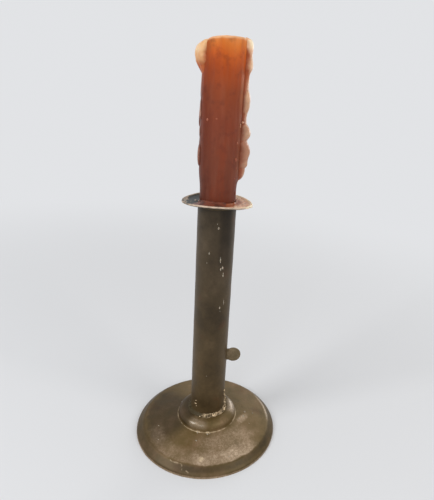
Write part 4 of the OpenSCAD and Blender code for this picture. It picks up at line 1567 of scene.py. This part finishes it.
    def build_puddle(self, workshop: Workshop) -> None:
        """Makes the pale puddle that runs over the pan's right and the brown wax in front of the candle."""
        pale = self.puddle(
            "pan_puddle", (-84.0, 100.0), lambda turns: -0.5 + 1.0 * band(turns, 6, 44, 14), 0.45, 0.75, 0.5, (16, 42)
        )
        dress(pale, workshop.finishes["pan_puddle_wax"])
        points = points_of(pale)
        degrees = np.degrees(np.arctan2(points[:, 1], points[:, 0]))
        radius = np.hypot(points[:, 0], points[:, 1])
        start = 1 - ease((degrees + 84) / 40)
        inner = 1 - ease((radius - 14.2) / 4.5)
        outer = ease((radius - 20.4) / 1.6)
        spots = 0.8 * grain(points, 1.7, 9)
        paint(pale, "thin", np.maximum(0.15 + spots, 0.85 * inner + 0.8 * start * (1 - outer)) - 0.5 * outer)
        pits = band(radius, 17.6, 2.0, 1.4) * ease(3 * grain(points, 1.2, 11) - 0.5)
        paint(pale, "shade", 0.55 * pits)
        tip = band(angle_from(degrees, -8), 0, 22, 20)
        paint(pale, "bright", outer * (0.4 + 0.4 * tip))
        place(pale, Body.STICK, Slot.PALE_WAX, "pan_wax")
        brown = self.puddle(
            "pan_brown_wax", (-166.0, -50.0), lambda turns: 0.0 * turns - 0.9, 0.35, 0.1, 1.9, (36, 26)
        )
        dress(brown, workshop.finishes["brown_puddle_wax"])
        paint(brown, "thin", 0.4 + 0.6 * grain(points_of(brown), 3, 13))
        paint(brown, "shade", np.zeros(len(brown.data.vertices)))
        place(brown, Body.STICK, Slot.CANDLE_WAX)

    def build_specks(self, workshop: Workshop) -> None:
        """Sets the crumbs of wax on the pan's left."""
        level = SurfaceDrop.on_level
        drops = []
        for radius, degrees, size, proud in (
            (17.0, 186, 0.5, 0.2), (14.2, 174, 0.8, 0.5), (20.7, 184, 0.9, 0.45), (21.3, 176, 0.7, 0.3),
            (19.4, 168, 0.6, 0.3), (19.8, 191, 0.6, 0.3), (19.2, 114, 1.0, 0.5), (19.4, 72, 0.8, 0.4),
        ):
            x, y, _ = polar(radius, degrees, 0.0)
            height = float(self.floor_at(radius) + self.bend(radius, degrees))
            drops.append(level(float(x), float(y), height, size, proud, 31 * radius))
        piece = workshop.dropped("pan_crumbs", drops, "speck_wax", tail=0.1, uneven=0.3)
        place(piece, Body.STICK, Slot.PALE_WAX)


@dataclass
class Ejector:
    """The thumb tab, and the disc, strip and rivets inside the tube that move with it."""

    tab_x: float = 17.1
    tab_z: float = 63.0
    tab_d: float = 11.0
    neck_h: float = 9.2
    sheet: float = 1.2
    foot_w: float = 3.6
    edge_round: float = 0.32

    def build(self, workshop: Workshop, nodes: dict[str, bpy.types.Object]) -> None:
        """Makes the tab and dresses the hidden pieces.

        Args:
            workshop: The shared finishes and trees.
            nodes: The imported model's nodes by name.
        """
        root_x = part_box("thumb_tab")[0].x / MM
        half, radius = self.neck_h / 2, self.tab_d / 2
        open_angle = math.degrees(math.asin(half / radius))
        arc = np.linspace(-180 + open_angle, 180 - open_angle, 61)
        rim = [(self.tab_x + radius * math.cos(t), self.tab_z + radius * math.sin(t)) for t in np.radians(arc)]
        outline = [(root_x, self.tab_z - half), *rim, (root_x, self.tab_z + half)]
        points, faces = [], []
        count = len(outline)
        for y in (-self.sheet / 2, self.sheet / 2):
            points += [(x, y, z) for x, z in outline]
        faces.append(tuple(range(count)))
        faces.append(tuple(range(2 * count - 1, count - 1, -1)))
        faces += [(i, (i + 1) % count, count + (i + 1) % count, count + i) for i in range(count)]
        tab = mesh_piece("thumb_tab_plate", np.array(points), faces)
        for side in (-1, 1):
            self.add_foot(tab, root_x, side)
        bevel = tab.modifiers.new("edge_round", "BEVEL")
        bevel.width, bevel.segments = self.edge_round * MM, 3
        bevel.limit_method, bevel.angle_limit = "ANGLE", math.radians(50)
        settle(tab)
        for polygon in tab.data.polygons:
            polygon.use_smooth = True
        tab.data.set_sharp_from_angle(angle=math.radians(40))
        dress(tab, workshop.finishes["tab_iron"])
        where = points_of(tab)
        edge = ease((np.abs(where[:, 1]) - self.sheet / 2 + 0.45) / 0.2)
        paint(tab, "wear_and_sheen", 0.25 * edge)
        place(tab, Body.EJECTOR, Slot.DARK_IRON, "thumb_tab")
        for name in ("piston_disc", "slide_strip", "tab_rivets", "disc_rivet"):
            dress(nodes[name], workshop.finishes["slide_iron"])

    def add_foot(self, tab: bpy.types.Object, root_x: float, side: int) -> None:
        """Adds one of the tab's two feet, which lie on the strip.

        Args:
            tab: The tab's plate.
            root_x: Where the tab meets the strip.
            side: -1 for the lower foot, 1 for the upper.
        """
        low = self.tab_z - self.neck_h / 2 if side < 0 else self.tab_z
        y = (-self.sheet / 2 - self.foot_w, 0.0) if side < 0 else (0.0, self.sheet / 2 + self.foot_w)
        size = (self.sheet, y[1] - y[0], self.neck_h / 2)
        middle = (root_x + self.sheet / 2, (y[0] + y[1]) / 2, low + size[2] / 2)
        work = bmesh.new()
        work.from_mesh(tab.data)
        added = bmesh.ops.create_cube(work, size=1.0)["verts"]
        bmesh.ops.scale(work, vec=Vector(size) * MM, verts=added)
        bmesh.ops.translate(work, vec=Vector(middle) * MM, verts=added)
        work.to_mesh(tab.data)
        work.free()


@dataclass(frozen=True)
class Bulge:
    """One drop in a run of wax down the candle."""

    degrees: float
    height: float
    proud: float
    half_width: float
    up: float
    down: float
    # Strength of the painted highlight on the drop's crest.
    glow: float = 0.0

    def depth(self, turns: np.ndarray, heights: np.ndarray, radius: float) -> np.ndarray:
        """How deep the drop is at each angle and height.

        Args:
            turns: Angles in degrees.
            heights: Heights in millimetres.
            radius: The candle's radius.

        Returns:
            The depth in millimetres, 0 outside the drop.
        """
        across = np.radians(angle_from(turns, self.degrees)) * radius / self.half_width
        rise = heights - self.height
        along = np.where(rise > 0, rise / self.up, rise / self.down)
        return self.proud * np.maximum(0, 1 - across ** 2 - along ** 2) ** 0.55


def crests(bulges: Sequence[Bulge], points: np.ndarray, radius: float) -> np.ndarray:
    """How strongly each point of a run takes a painted highlight for being near the crest of a drop.

    Args:
        bulges: The run's drops.
        points: The run's points.
        radius: The candle's radius.

    Returns:
        A value from 0 to 1 for each point.
    """
    turns = np.degrees(np.arctan2(points[:, 1], points[:, 0])) + 5 * grain(points, 3, 55)
    heights = points[:, 2] + 0.8 * grain(points, 3, 56)
    return np.maximum.reduce([b.glow * (b.depth(turns, heights, radius) / b.proud) ** 2 for b in bulges])


@dataclass
class Candle:
    """The burnt candle with its hollow top, its runs of set wax, and the wick."""

    bottom: float = from_frame(low_of, "candle")
    top: float = from_frame(high_of, "candle")
    end_r: float = 11.1
    mouth_r: float = 11.6
    full_r: float = 12.6
    mouth_z: float = from_frame(high_of, "shaft")
    taper_from: float = 184.9
    taper_h: float = 14.0
    top_tilt: float = 1.1
    top_crown: float = 0.45
    chamfer: float = 0.8
    rim_round: float = 1.3
    rim_w: float = 1.6
    hollow: float = 6.0
    columns: int = 288

    def radius(self, heights: np.ndarray) -> np.ndarray:
        """The bare candle's radius at each height."""
        swell = (self.mouth_r - self.end_r) * ease((heights - self.mouth_z + 0.4) / 2.2)
        return self.end_r + swell + (self.full_r - self.mouth_r) * ease((heights - self.taper_from) / self.taper_h)

    def surface(self, turns: np.ndarray, heights: np.ndarray) -> np.ndarray:
        """The candle's radius with the unevenness of its side.

        Args:
            turns: Angles in degrees.
            heights: Heights in millimetres.

        Returns:
            The radius at each of them.
        """
        base = self.radius(heights)
        at = polar(12.0 + 0.0 * (turns + heights), turns, heights)
        shown = ease((heights - 181) / 10)
        flow = 0.16 * grain(at, 5, 21, 5) + 0.08 * grain(at, 1.8, 22, 9)
        groove = -0.25 * band(angle_from(turns, -12 + 1.5 * np.sin(heights / 13)), 0, 1.5, 3.0)
        groove = groove * band(heights, 224, 24, 8)
        return base + shown * (flow + groove)

    def rim_rise(self, degrees: np.ndarray) -> np.ndarray:
        """How far the burnt rim stands over its middle height, by angle; it is lowest over the lobe."""
        turn = np.radians(degrees)
        crown = self.top_crown * np.clip(-np.sin(turn), 0, 1)
        return self.top_tilt * np.cos(turn) + crown - 0.25 - 0.95 * band(angle_from(degrees, 186), 0, 16, 34)

    def build(self, workshop: Workshop) -> None:
        """Makes the candle, its wax and its wick.

        Args:
            workshop: The shared finishes and trees.
        """
        self.build_body(workshop)
        self.build_right_run(workshop)
        self.build_left_run(workshop)
        self.build_lobe(workshop)
        self.build_nubs(workshop)
        self.build_wick(workshop)

    def build_body(self, workshop: Workshop) -> None:
        """Makes the candle itself as one closed skin."""
        turns = np.linspace(0, 360, self.columns, endpoint=False)[None, :]
        low = [(1.0, self.bottom), (self.end_r - self.chamfer, self.bottom), (self.end_r, self.bottom + self.chamfer)]
        hidden = [(self.end_r, z) for z in np.linspace(96, 174, 14)]
        rings = [polar(r, turns[0], z) for r, z in low + hidden]
        ripple = 0.2 * grain(polar(12, turns[0], 0), 7, 31) + 0.12 * grain(polar(12, turns[0], 0), 2.5, 32)
        ripple = ripple + self.rim_rise(turns[0])
        shoulder = self.top - self.rim_round
        shown = np.linspace(176, shoulder, 190)[:, None]
        lifted = shown + ripple * ease((shown - shoulder + 12) / 12)
        rings += list(polar(self.surface(turns, shown), turns, lifted))
        edge = self.surface(turns, np.array([[shoulder]]))[0]
        for a in np.radians(np.linspace(12, 90, 8)):
            inset, rise = self.rim_round * (1 - math.cos(a)), self.rim_round * math.sin(a)
            rings.append(polar(edge - inset, turns[0], shoulder + rise + ripple))
        lip = edge - self.rim_round
        rings.append(polar(lip - self.rim_w * 0.5, turns[0], self.top + ripple - 0.1))
        cup = lip - self.rim_w
        for a in np.radians(np.linspace(6, 86, 16)):
            at = polar(cup * math.cos(a), turns[0], 0)
            wave = 0.25 * grain(at, 3, 33) * math.cos(a)
            rings.append(polar(cup * math.cos(a), turns[0], self.top - 0.2 - self.hollow * math.sin(a) ** 0.8 + wave))
        grid = np.array(rings)
        count, wide = grid.shape[:2]
        index = np.arange(count * wide).reshape(count, wide)
        faces = []
        for row in range(count - 1):
            after = np.roll(index, -1, axis=1)
            faces += list(zip(index[row], after[row], after[row + 1], index[row + 1]))
        faces += [tuple(index[0][::-1]), tuple(index[-1])]
        body = mesh_piece("candle_body", grid, faces)
        dress(body, workshop.finishes["red_brown_wax"])
        points = points_of(body)
        degrees = np.degrees(np.arctan2(points[:, 1], points[:, 0]))
        height = points[:, 2]
        inside = np.hypot(points[:, 0], points[:, 1]) < self.full_r - 2
        ragged = grain(points, 3, 24, 3)
        # Painted shade on the candle's left and front, deeper near the top, in the groove beside the right run, at the
        # tube's mouth and inside the hollow top.
        upper = ease((height - 246) / 14)
        left = band(angle_from(degrees, -158) + 5 * ragged, 0, 14, 48) * (0.62 + 0.14 * upper)
        left = np.maximum(left, 0.24 * upper * band(angle_from(degrees, -104) + 5 * ragged, 0, 20, 34))
        groove = band(angle_from(degrees, -12 + 1.5 * np.sin(height / 13)), 0, 1.8, 2.5) * band(height, 224, 24, 8)
        # Painted light: a pale strip down the right side.
        right = band(angle_from(degrees, -28) + 4 * ragged, 0, 2, 10)
        right = right * np.maximum(0.13 * band(height, 246, 4, 12), 0.05 * band(height, 216, 16, 14))
        mouth = (1 - ease((height - 178) / 4)) * 0.2
        paint(body, "shade", np.where(inside, 0.15, np.maximum.reduce([left, 0.6 * groove, mouth])))
        # Painted highlight along the burnt rim; inside the hollow the wax is made a little pale.
        rim = ease((height - self.top - self.rim_rise(degrees) + 1.7 + 0.4 * ragged) / 1.1)
        paint(body, "pale", np.where(inside, 0.4, np.maximum(0.92 * rim, right)))
        place(body, Body.CANDLE, Slot.CANDLE_WAX, "candle")

    def run(
        self, name: str, middle: float, half: float, low: float, high: float, sheet: Callable[[np.ndarray], np.ndarray],
        bulges: Sequence[Bulge], seed: int = 0, edge_power: float = 0.42, narrow: tuple[float, float] = (0.0, 0.0),
    ) -> tuple[bpy.types.Object, np.ndarray]:
        """Makes one run of set wax on the candle's side.

        Args:
            name: The piece's name.
            middle: Angle of its middle line.
            half: Half of the angle that it covers.
            low: Its lowest point.
            high: Its highest point.
            sheet: Its depth between its drops, by height.
            bulges: Its drops.
            seed: Picks another pattern for its edges.
            edge_power: How steep its front edge is; smaller is steeper.
            narrow: How much narrower it is at its lowest and highest points, as shares of its width.

        Returns:
            The piece, and its depth at each of its points.
        """
        heights = np.linspace(low, high, max(24, round((high - low) / 0.5)))[:, None]
        across = np.linspace(-1, 1, 72)[None, :]
        line = polar(0 * heights[:, 0] + 12, middle, heights[:, 0])
        left_edge = half * (1 + 0.10 * grain(line, 6, 40 + seed) + 0.05 * grain(line, 2, 41 + seed))
        right_edge = half * (0.96 + 0.26 * grain(line, 7, 43 + seed) + 0.08 * grain(line, 2, 44 + seed))
        reach = np.where(across < 0, left_edge[:, None], right_edge[:, None])
        reach = reach * (1 - narrow[0] * (1 - ease((heights - low) / 10)))
        reach = reach * (1 - narrow[1] * (1 - ease((high - heights) / 7)) * (across > 0))
        turns = middle + across * reach
        body = self.surface(turns, heights)
        at = polar(body, turns, heights)
        ends = np.clip(np.minimum((heights - low) / 3.0, (high - heights) / 1.2), 0, 1)
        steep = np.where(across < 0, edge_power, max(edge_power, 0.8))
        depth = sheet(heights) * np.maximum(0, 1 - across ** 2) ** steep * np.sqrt(ends)
        ridges = 1 + 0.16 * grain(at, 2.2, 46 + seed, 7) + 0.10 * grain(at, 1.1, 47 + seed, 3)
        ridges = ridges + 0.22 * grain(at, 3.4, 48 + seed, 5) * np.clip(across, 0, 0.5)
        depth = depth * ridges
        for bulge in bulges:
            extra = bulge.depth(turns, heights, self.full_r)
            depth = (depth ** 3 + extra ** 3) ** (1 / 3)
        depth = depth * np.clip((1 - np.abs(across)) / 0.03, 0, 1) * np.clip(ends / 0.05, 0, 1)
        outer = polar(body + depth - 0.3 * np.exp(-depth / 0.12), turns, heights)
        inner = polar(body - 0.9, turns, heights)
        piece = shell(name, outer, inner, closed=False)
        return piece, np.concatenate([depth.ravel()] * 2)

    def finish_run(
        self, piece: bpy.types.Object, depth: np.ndarray, finish: bpy.types.Material, thin: float, thick: float,
        *nodes: str,
    ) -> None:
        """Dresses a run of wax, which takes the candle's colour where it is thin and gets painted shade along its
        thinnest edges.

        Args:
            piece: The run.
            depth: Its depth at each of its points.
            finish: Its finish.
            thin: Depth up to which it has the candle's colour.
            thick: Depth from which it is pale.
            nodes: The CAD nodes that it stands for.
        """
        dress(piece, finish)
        paint(piece, "thin", 1 - ease((depth - thin) / (thick - thin)))
        # Painted shade along the run's thin edges, where it meets the candle.
        paint(piece, "shade", 0.2 * ease((0.4 - depth) / 0.4))
        place(piece, Body.CANDLE, Slot.PALE_WAX, *nodes)

    def build_right_run(self, workshop: Workshop) -> None:
        """Makes the long run of drops on the candle's right."""
        bulges = [
            Bulge(0, 269.2, 3.4, 5.4, 5.0, 6.4), Bulge(0, 259.3, 3.7, 5.5, 7.0, 4.4, 0.4),
            Bulge(3, 239.3, 3.7, 6.5, 7.5, 8.0, 0.45), Bulge(0, 220.8, 5.3, 6.0, 6.5, 4.4, 0.75),
            Bulge(-1, 209.9, 5.9, 6.5, 7.0, 6.8, 0.2), Bulge(1, 202.4, 4.7, 4.0, 4.5, 3.0, 0.4),
            Bulge(24, 247.0, 3.2, 4.2, 16.0, 4.4, 0.35), Bulge(34, 229.0, 2.8, 4.0, 14.0, 4.2, 0.35),
            Bulge(20, 214.0, 4.4, 4.5, 18.0, 5.0, 0.3), Bulge(36, 205.0, 2.6, 3.6, 12.0, 4.0, 0.4),
            Bulge(10, 196.0, 3.3, 4.2, 9.0, 4.4, 0.25),
        ]
        run, depth = self.run(
            "right_wax_run", 18, 30, 188.2, self.top + 1.5,
            lambda z: 0.5 + 2.6 * ease((z - 190) / 9) + 0.2 * np.sin(z / 3.1), bulges, 1, 0.42, (0.3, 0.45),
        )
        points = points_of(run)
        top_drop = ease((points[:, 2] - self.top + 6) / 4)
        finish = workshop.finishes["run_wax"]
        height = points[:, 2]
        degrees = np.degrees(np.arctan2(points[:, 1], points[:, 0]))
        flank = 1 - ease((degrees + 5 + 2 * grain(points, 2.5, 50, 2)) / 9)
        redder = band(height, 259.5, 4.5, 4) + band(height, 208.5, 4, 3.5) + 0.7 * band(height, 195, 4, 5)
        redder = redder + 0.4 * band(height, 248, 3, 4) + 0.4 * band(height, 229, 2, 4)
        seen_depth = depth * (1 - 0.42 * flank * redder) + 0.45 * grain(points, 2.4, 51, 5)
        self.finish_run(run, np.maximum(seen_depth, 2.4 * top_drop), finish, 0.2, 3.0, "wax_runs")
        # Painted highlights on the drops' crests and on the top drop.
        pale = crests(bulges, points, self.full_r) * (1 - 0.6 * flank) * (depth > 0.3)
        paint(run, "bright", np.maximum(0.9 * top_drop * ease((depth - 0.6) / 1.6), pale))

    def build_left_run(self, workshop: Workshop) -> None:
        """Makes the thin run on the candle's left."""
        bulges = [
            Bulge(183, 231.4, 0.8, 4.5, 9.0, 5.0, 0.9), Bulge(182, 221.0, 0.6, 3.6, 3.0, 4.2, 0.8),
            Bulge(184, 206.4, 1.3, 5.5, 7.0, 7.0, 1.0), Bulge(162, 226.0, 1.6, 4.0, 14.0, 4.5, 0.4),
            Bulge(156, 210.0, 1.5, 3.6, 12.0, 4.0, 0.45), Bulge(166, 242.0, 0.8, 4.0, 10.0, 4.0, 0.4),
            Bulge(187, 243.0, 0.25, 4.0, 8.0, 4.0, 0.6),
        ]
        run, depth = self.run(
            "left_wax_run", 174, 25, 197.9, 255.4,
            lambda z: 0.18 + 0.12 * ease((z - 199) / 8) + 0.08 * np.sin(z / 2.3), bulges, 2, 0.8,
        )
        points = points_of(run)
        # Painted highlights on the drops' crests, given as thick pale wax.
        pale = 1.9 * crests(bulges, points, self.full_r) * ease((depth - 0.08) / 0.6)
        pale = pale + 0.15 * grain(points, 2.0, 57, 3)
        self.finish_run(run, np.maximum(0.25 * depth, pale), workshop.finishes["thin_run_wax"], 0.1, 1.5)
        paint(run, "shade", np.zeros(len(points)))

    def build_lobe(self, workshop: Workshop) -> None:
        """Makes the lobe of wax that hangs from the rim at the candle's left."""
        heights = (252.2, 254.0, 255.8, 258.8, 262.0, 265.1, 267.6, 268.7, 269.6, 270.4)
        depths = (0.0, 0.9, 1.9, 3.6, 4.0, 4.1, 3.5, 2.7, 1.5, 0.0)

        def sheet(at: np.ndarray) -> np.ndarray:
            """Depth of the lobe by height, with its corners eased."""
            return sum(np.interp(at + step, heights, depths) for step in (-0.6, 0.0, 0.6)) / 3

        low, high = heights[0] - 0.6, heights[-1] + 0.3
        lobe, depth = self.run("wax_lobe", 178, 39, low, high, sheet, [], 3, 0.85, (0.4, 0.0))
        dress(lobe, workshop.finishes["lobe_wax"])
        points = points_of(lobe)
        degrees = np.degrees(np.arctan2(points[:, 1], points[:, 0]))
        front = ease((angle_from(degrees, 194) + 1.5 * grain(points, 3, 45)) / 26) ** 1.5
        low = ease((264 - points[:, 2]) / 9)
        thin = np.maximum.reduce([0.8 - 0.8 * ease(depth / 1.6), 0.8 * front, 0.8 * low])
        paint(lobe, "thin", thin * (1 - 0.7 * ease((points[:, 2] - 263) / 8)))
        # Painted highlight on the lobe's thick top.
        paint(lobe, "bright", 0.25 * ease((points[:, 2] - 262) / 4) * ease((depth - 1.5) / 1.5))
        paint(lobe, "shade", np.zeros(len(points)))
        place(lobe, Body.CANDLE, Slot.PALE_WAX)

    def build_nubs(self, workshop: Workshop) -> None:
        """Sets the small nubs of wax on the candle's front and back."""
        wall = SurfaceDrop.on_wall
        nubs = [
            wall(12.6, -37, 215.5, 0.8, 0.45, 0.7), wall(12.6, -38, 205.8, 1.0, 0.5, 1.1),
            wall(12.6, -131, 228.0, 0.8, 0.3, 0.9), wall(12.6, -103, 228.9, 0.6, 0.22, 0.6),
            wall(11.9, -30, 196.0, 0.6, 0.35, 1.3), wall(11.7, -28, 190.0, 0.5, 0.3, 1.0),
            wall(12.4, -33, 200.6, 0.5, 0.3, 1.2), wall(12.1, -37, 194.4, 0.5, 0.3, 0.9),
            wall(11.8, -20, 184.6, 0.6, 0.35, 1.4),
            wall(12.7, 60, 240.0, 0.9, 0.6, 1.6), wall(12.7, 84, 222.0, 0.8, 0.5, 1.2),
            wall(12.7, 120, 236.0, 1.0, 0.6, 2.0), wall(12.7, 98, 251.0, 1.1, 0.8, 3.0),
        ]
        piece = workshop.dropped("candle_nubs", nubs, "nub_wax", tail=0.35, uneven=0.3)
        paint(piece, "thin", np.full(len(piece.data.vertices), 0.3))
        place(piece, Body.CANDLE, Slot.PALE_WAX)
        hooks = [wall(13.2, -16, 227.6, 1.3, 0.8, 0.7), wall(12.8, -27, 225.8, 0.5, 0.35, 1.3)]
        hook = workshop.dropped("candle_hook", hooks, "run_wax", tail=0.35, uneven=0.3)
        paint(hook, "thin", np.full(len(hook.data.vertices), 0.1))
        place(hook, Body.CANDLE, Slot.PALE_WAX)

    def build_wick(self, workshop: Workshop) -> None:
        """Makes the wick, with its burnt end leaning over."""
        pool = self.top - self.hollow
        line = [(0, 0, self.bottom + 0.15), (0, 0, 180), (0, 0, pool - 3.5), (0, 0, pool + 0.9),
                (0.15, 0, pool + 1.9), (0.6, 0, pool + 2.8), (1.2, 0, pool + 3.6), (1.75, 0, pool + 4.2)]
        wick = workshop.cord.grow(line_piece("twisted_wick", line), {
            "Radius": 0.92 * MM, "Lobe Depth": 0.2, "Twists": 34.0, "Spacing": 0.45 * MM,
            "Material": workshop.finishes["charred_cotton"],
        })
        place(wick, Body.CANDLE, Slot.WICK, "wick")


@dataclass(frozen=True)
class PhotoCamera:
    """The camera that was fitted to the photograph's outlines."""

    distance: float = 0.26691
    height: float = 0.2386
    lens: float = 30.146
    turn: float = 5.82
    down: float = 19.17
    roll: float = 4.8
    shift: tuple[float, float] = (-0.0767, 0.0004)

    def build(self) -> None:
        """Makes the camera and looks through it."""
        data = bpy.data.cameras.new("photo_camera")
        data.lens, data.sensor_width = self.lens, 36.0
        data.shift_x, data.shift_y = self.shift
        data.clip_start, data.clip_end = 0.01, 50
        turn, down, roll = (math.radians(a) for a in (self.turn, self.down, self.roll))
        ahead = Vector((math.sin(turn) * math.cos(down), math.cos(turn) * math.cos(down), -math.sin(down)))
        right = Vector((math.cos(turn), -math.sin(turn), 0))
        up = right.cross(ahead)
        across = math.cos(roll) * right + math.sin(roll) * up
        upright = -math.sin(roll) * right + math.cos(roll) * up
        camera = bpy.data.objects.new("photo_camera", data)
        bpy.context.scene.collection.objects.link(camera)
        pose = Matrix((across, upright, -ahead)).transposed().to_4x4()
        pose.translation = Vector((0, -self.distance, self.height))
        camera.matrix_world = pose
        bpy.context.scene.camera = camera


@dataclass(frozen=True)
class Lamp:
    """One soft square lamp."""

    name: str
    at: tuple[float, float, float]
    power: float
    size: float
    colour: tuple[float, float, float] = (1.0, 1.0, 1.0)

    def build(self) -> None:
        """Makes the lamp, facing the middle of the object."""
        data = bpy.data.lights.new(self.name, "AREA")
        data.energy, data.size, data.color = self.power, self.size, self.colour
        lamp = bpy.data.objects.new(self.name, data)
        bpy.context.scene.collection.objects.link(lamp)
        lamp.location = self.at
        lamp.visible_camera = False
        lamp.rotation_mode = "QUATERNION"
        lamp.rotation_quaternion = (Vector((0, 0, 0.12)) - Vector(self.at)).to_track_quat("-Z", "Y")


@dataclass
class Studio:
    """A pale floor that fades into a pale background, and soft lamps."""

    background: Colour = (0.76, 0.77, 0.79, 1.0)
    floor_colour: Colour = (0.76, 0.77, 0.79, 1.0)
    ambient: float = 0.55
    near: float = 0.12
    far: float = 0.8
    lamps: tuple[Lamp, ...] = (
        Lamp("key_lamp", (-0.80, -0.45, 0.72), 4.6, 0.4),
        Lamp("front_lamp", (-0.30, -0.78, 0.60), 0.8, 0.25, (0.92, 0.96, 1.0)),
        Lamp("right_lamp", (0.75, -0.55, 0.65), 3.0, 0.5, (1.0, 0.98, 0.95)),
        Lamp("back_lamp", (0.62, 0.95, 0.42), 2.2, 0.45, (1.0, 0.98, 0.95)),
    )

    def seen_directly(self, sketch: NodeSketch) -> Socket:
        """1 for what the camera sees, also in a reflection or through glass."""
        path = sketch.add("ShaderNodeLightPath").outputs
        seen = sketch.math("MAXIMUM", path["Is Camera Ray"], path["Is Glossy Ray"])
        return sketch.math("MAXIMUM", seen, path["Is Transmission Ray"])

    def build(self) -> None:
        """Makes the world, the floor and the lamps."""
        scene = bpy.context.scene
        scene.view_settings.view_transform = "Standard"
        world = bpy.data.worlds.new("studio_air")
        scene.world = world
        world.use_nodes = True
        sketch = NodeSketch(world.node_tree)
        output = world.node_tree.nodes["World Output"]
        base = world.node_tree.nodes["Background"]
        base.inputs["Color"].default_value = (1.0, 1.0, 1.0, 1.0)
        base.inputs["Strength"].default_value = self.ambient
        seen = sketch.add("ShaderNodeBackground", None, {"Color": self.background, "Strength": 1.0})
        mixed = sketch.add("ShaderNodeMixShader", None, {
            0: self.seen_directly(sketch), 1: base.outputs[0], 2: seen.outputs[0],
        })
        world.node_tree.links.new(mixed.outputs[0], output.inputs["Surface"])
        self.build_floor()
        for lamp in self.lamps:
            lamp.build()

    def build_floor(self) -> None:
        """Makes the floor, plain near the object and of the background's colour further out."""
        turns = np.linspace(0, 360, 96, endpoint=False)
        rings = [polar(r, turns, 0.0) for r in (20, 100, 400, 1500, 8000)]
        index = np.arange(len(rings) * 96).reshape(len(rings), 96)
        faces = [tuple(index[0])]
        for row in range(len(rings) - 1):
            after = np.roll(index, -1, axis=1)
            faces += list(zip(index[row], index[row + 1], after[row + 1], after[row]))
        mesh = bpy.data.meshes.new("studio_floor")
        mesh.from_pydata((np.array(rings).reshape(-1, 3) * MM).tolist(), [], [list(map(int, f)) for f in faces])
        floor = new_object("studio_floor", mesh)
        material, sketch, shader = new_finish("floor_paper")
        shader.inputs["Base Color"].default_value = self.floor_colour
        shader.inputs["Roughness"].default_value = 0.9
        shader.inputs["Specular IOR Level"].default_value = 0.1
        at = sketch.add("ShaderNodeTexCoord").outputs["Object"]
        reach = sketch.add("ShaderNodeVectorMath", {"operation": "LENGTH"}, {0: at}).outputs["Value"]
        fade = sketch.math("MULTIPLY", sketch.between(reach, self.near, self.far), self.seen_directly(sketch))
        glow = sketch.add("ShaderNodeEmission", None, {"Color": self.background, "Strength": 1.0})
        mixed = sketch.add("ShaderNodeMixShader", None, {0: fade, 1: shader.outputs[0], 2: glow.outputs[0]})
        sketch.tree.links.new(mixed.outputs[0], sketch.tree.nodes["Material Output"].inputs["Surface"])
        dress(floor, material)


def main() -> None:
    """Builds the candlestick's looks, sub-assembly by sub-assembly, and keeps its sizes."""
    logging.basicConfig(level=logging.INFO, format="%(name)s: %(message)s")
    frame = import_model()
    PhotoCamera().build()
    Studio().build()
    workshop = Workshop()
    FootPlate().build(workshop)
    Shaft().build(workshop)
    SolderWork().build(workshop)
    DripPan().build(workshop)
    Ejector().build(workshop, frame["nodes"])
    Candle().build(workshop)


if __name__ == "__main__":
    main()
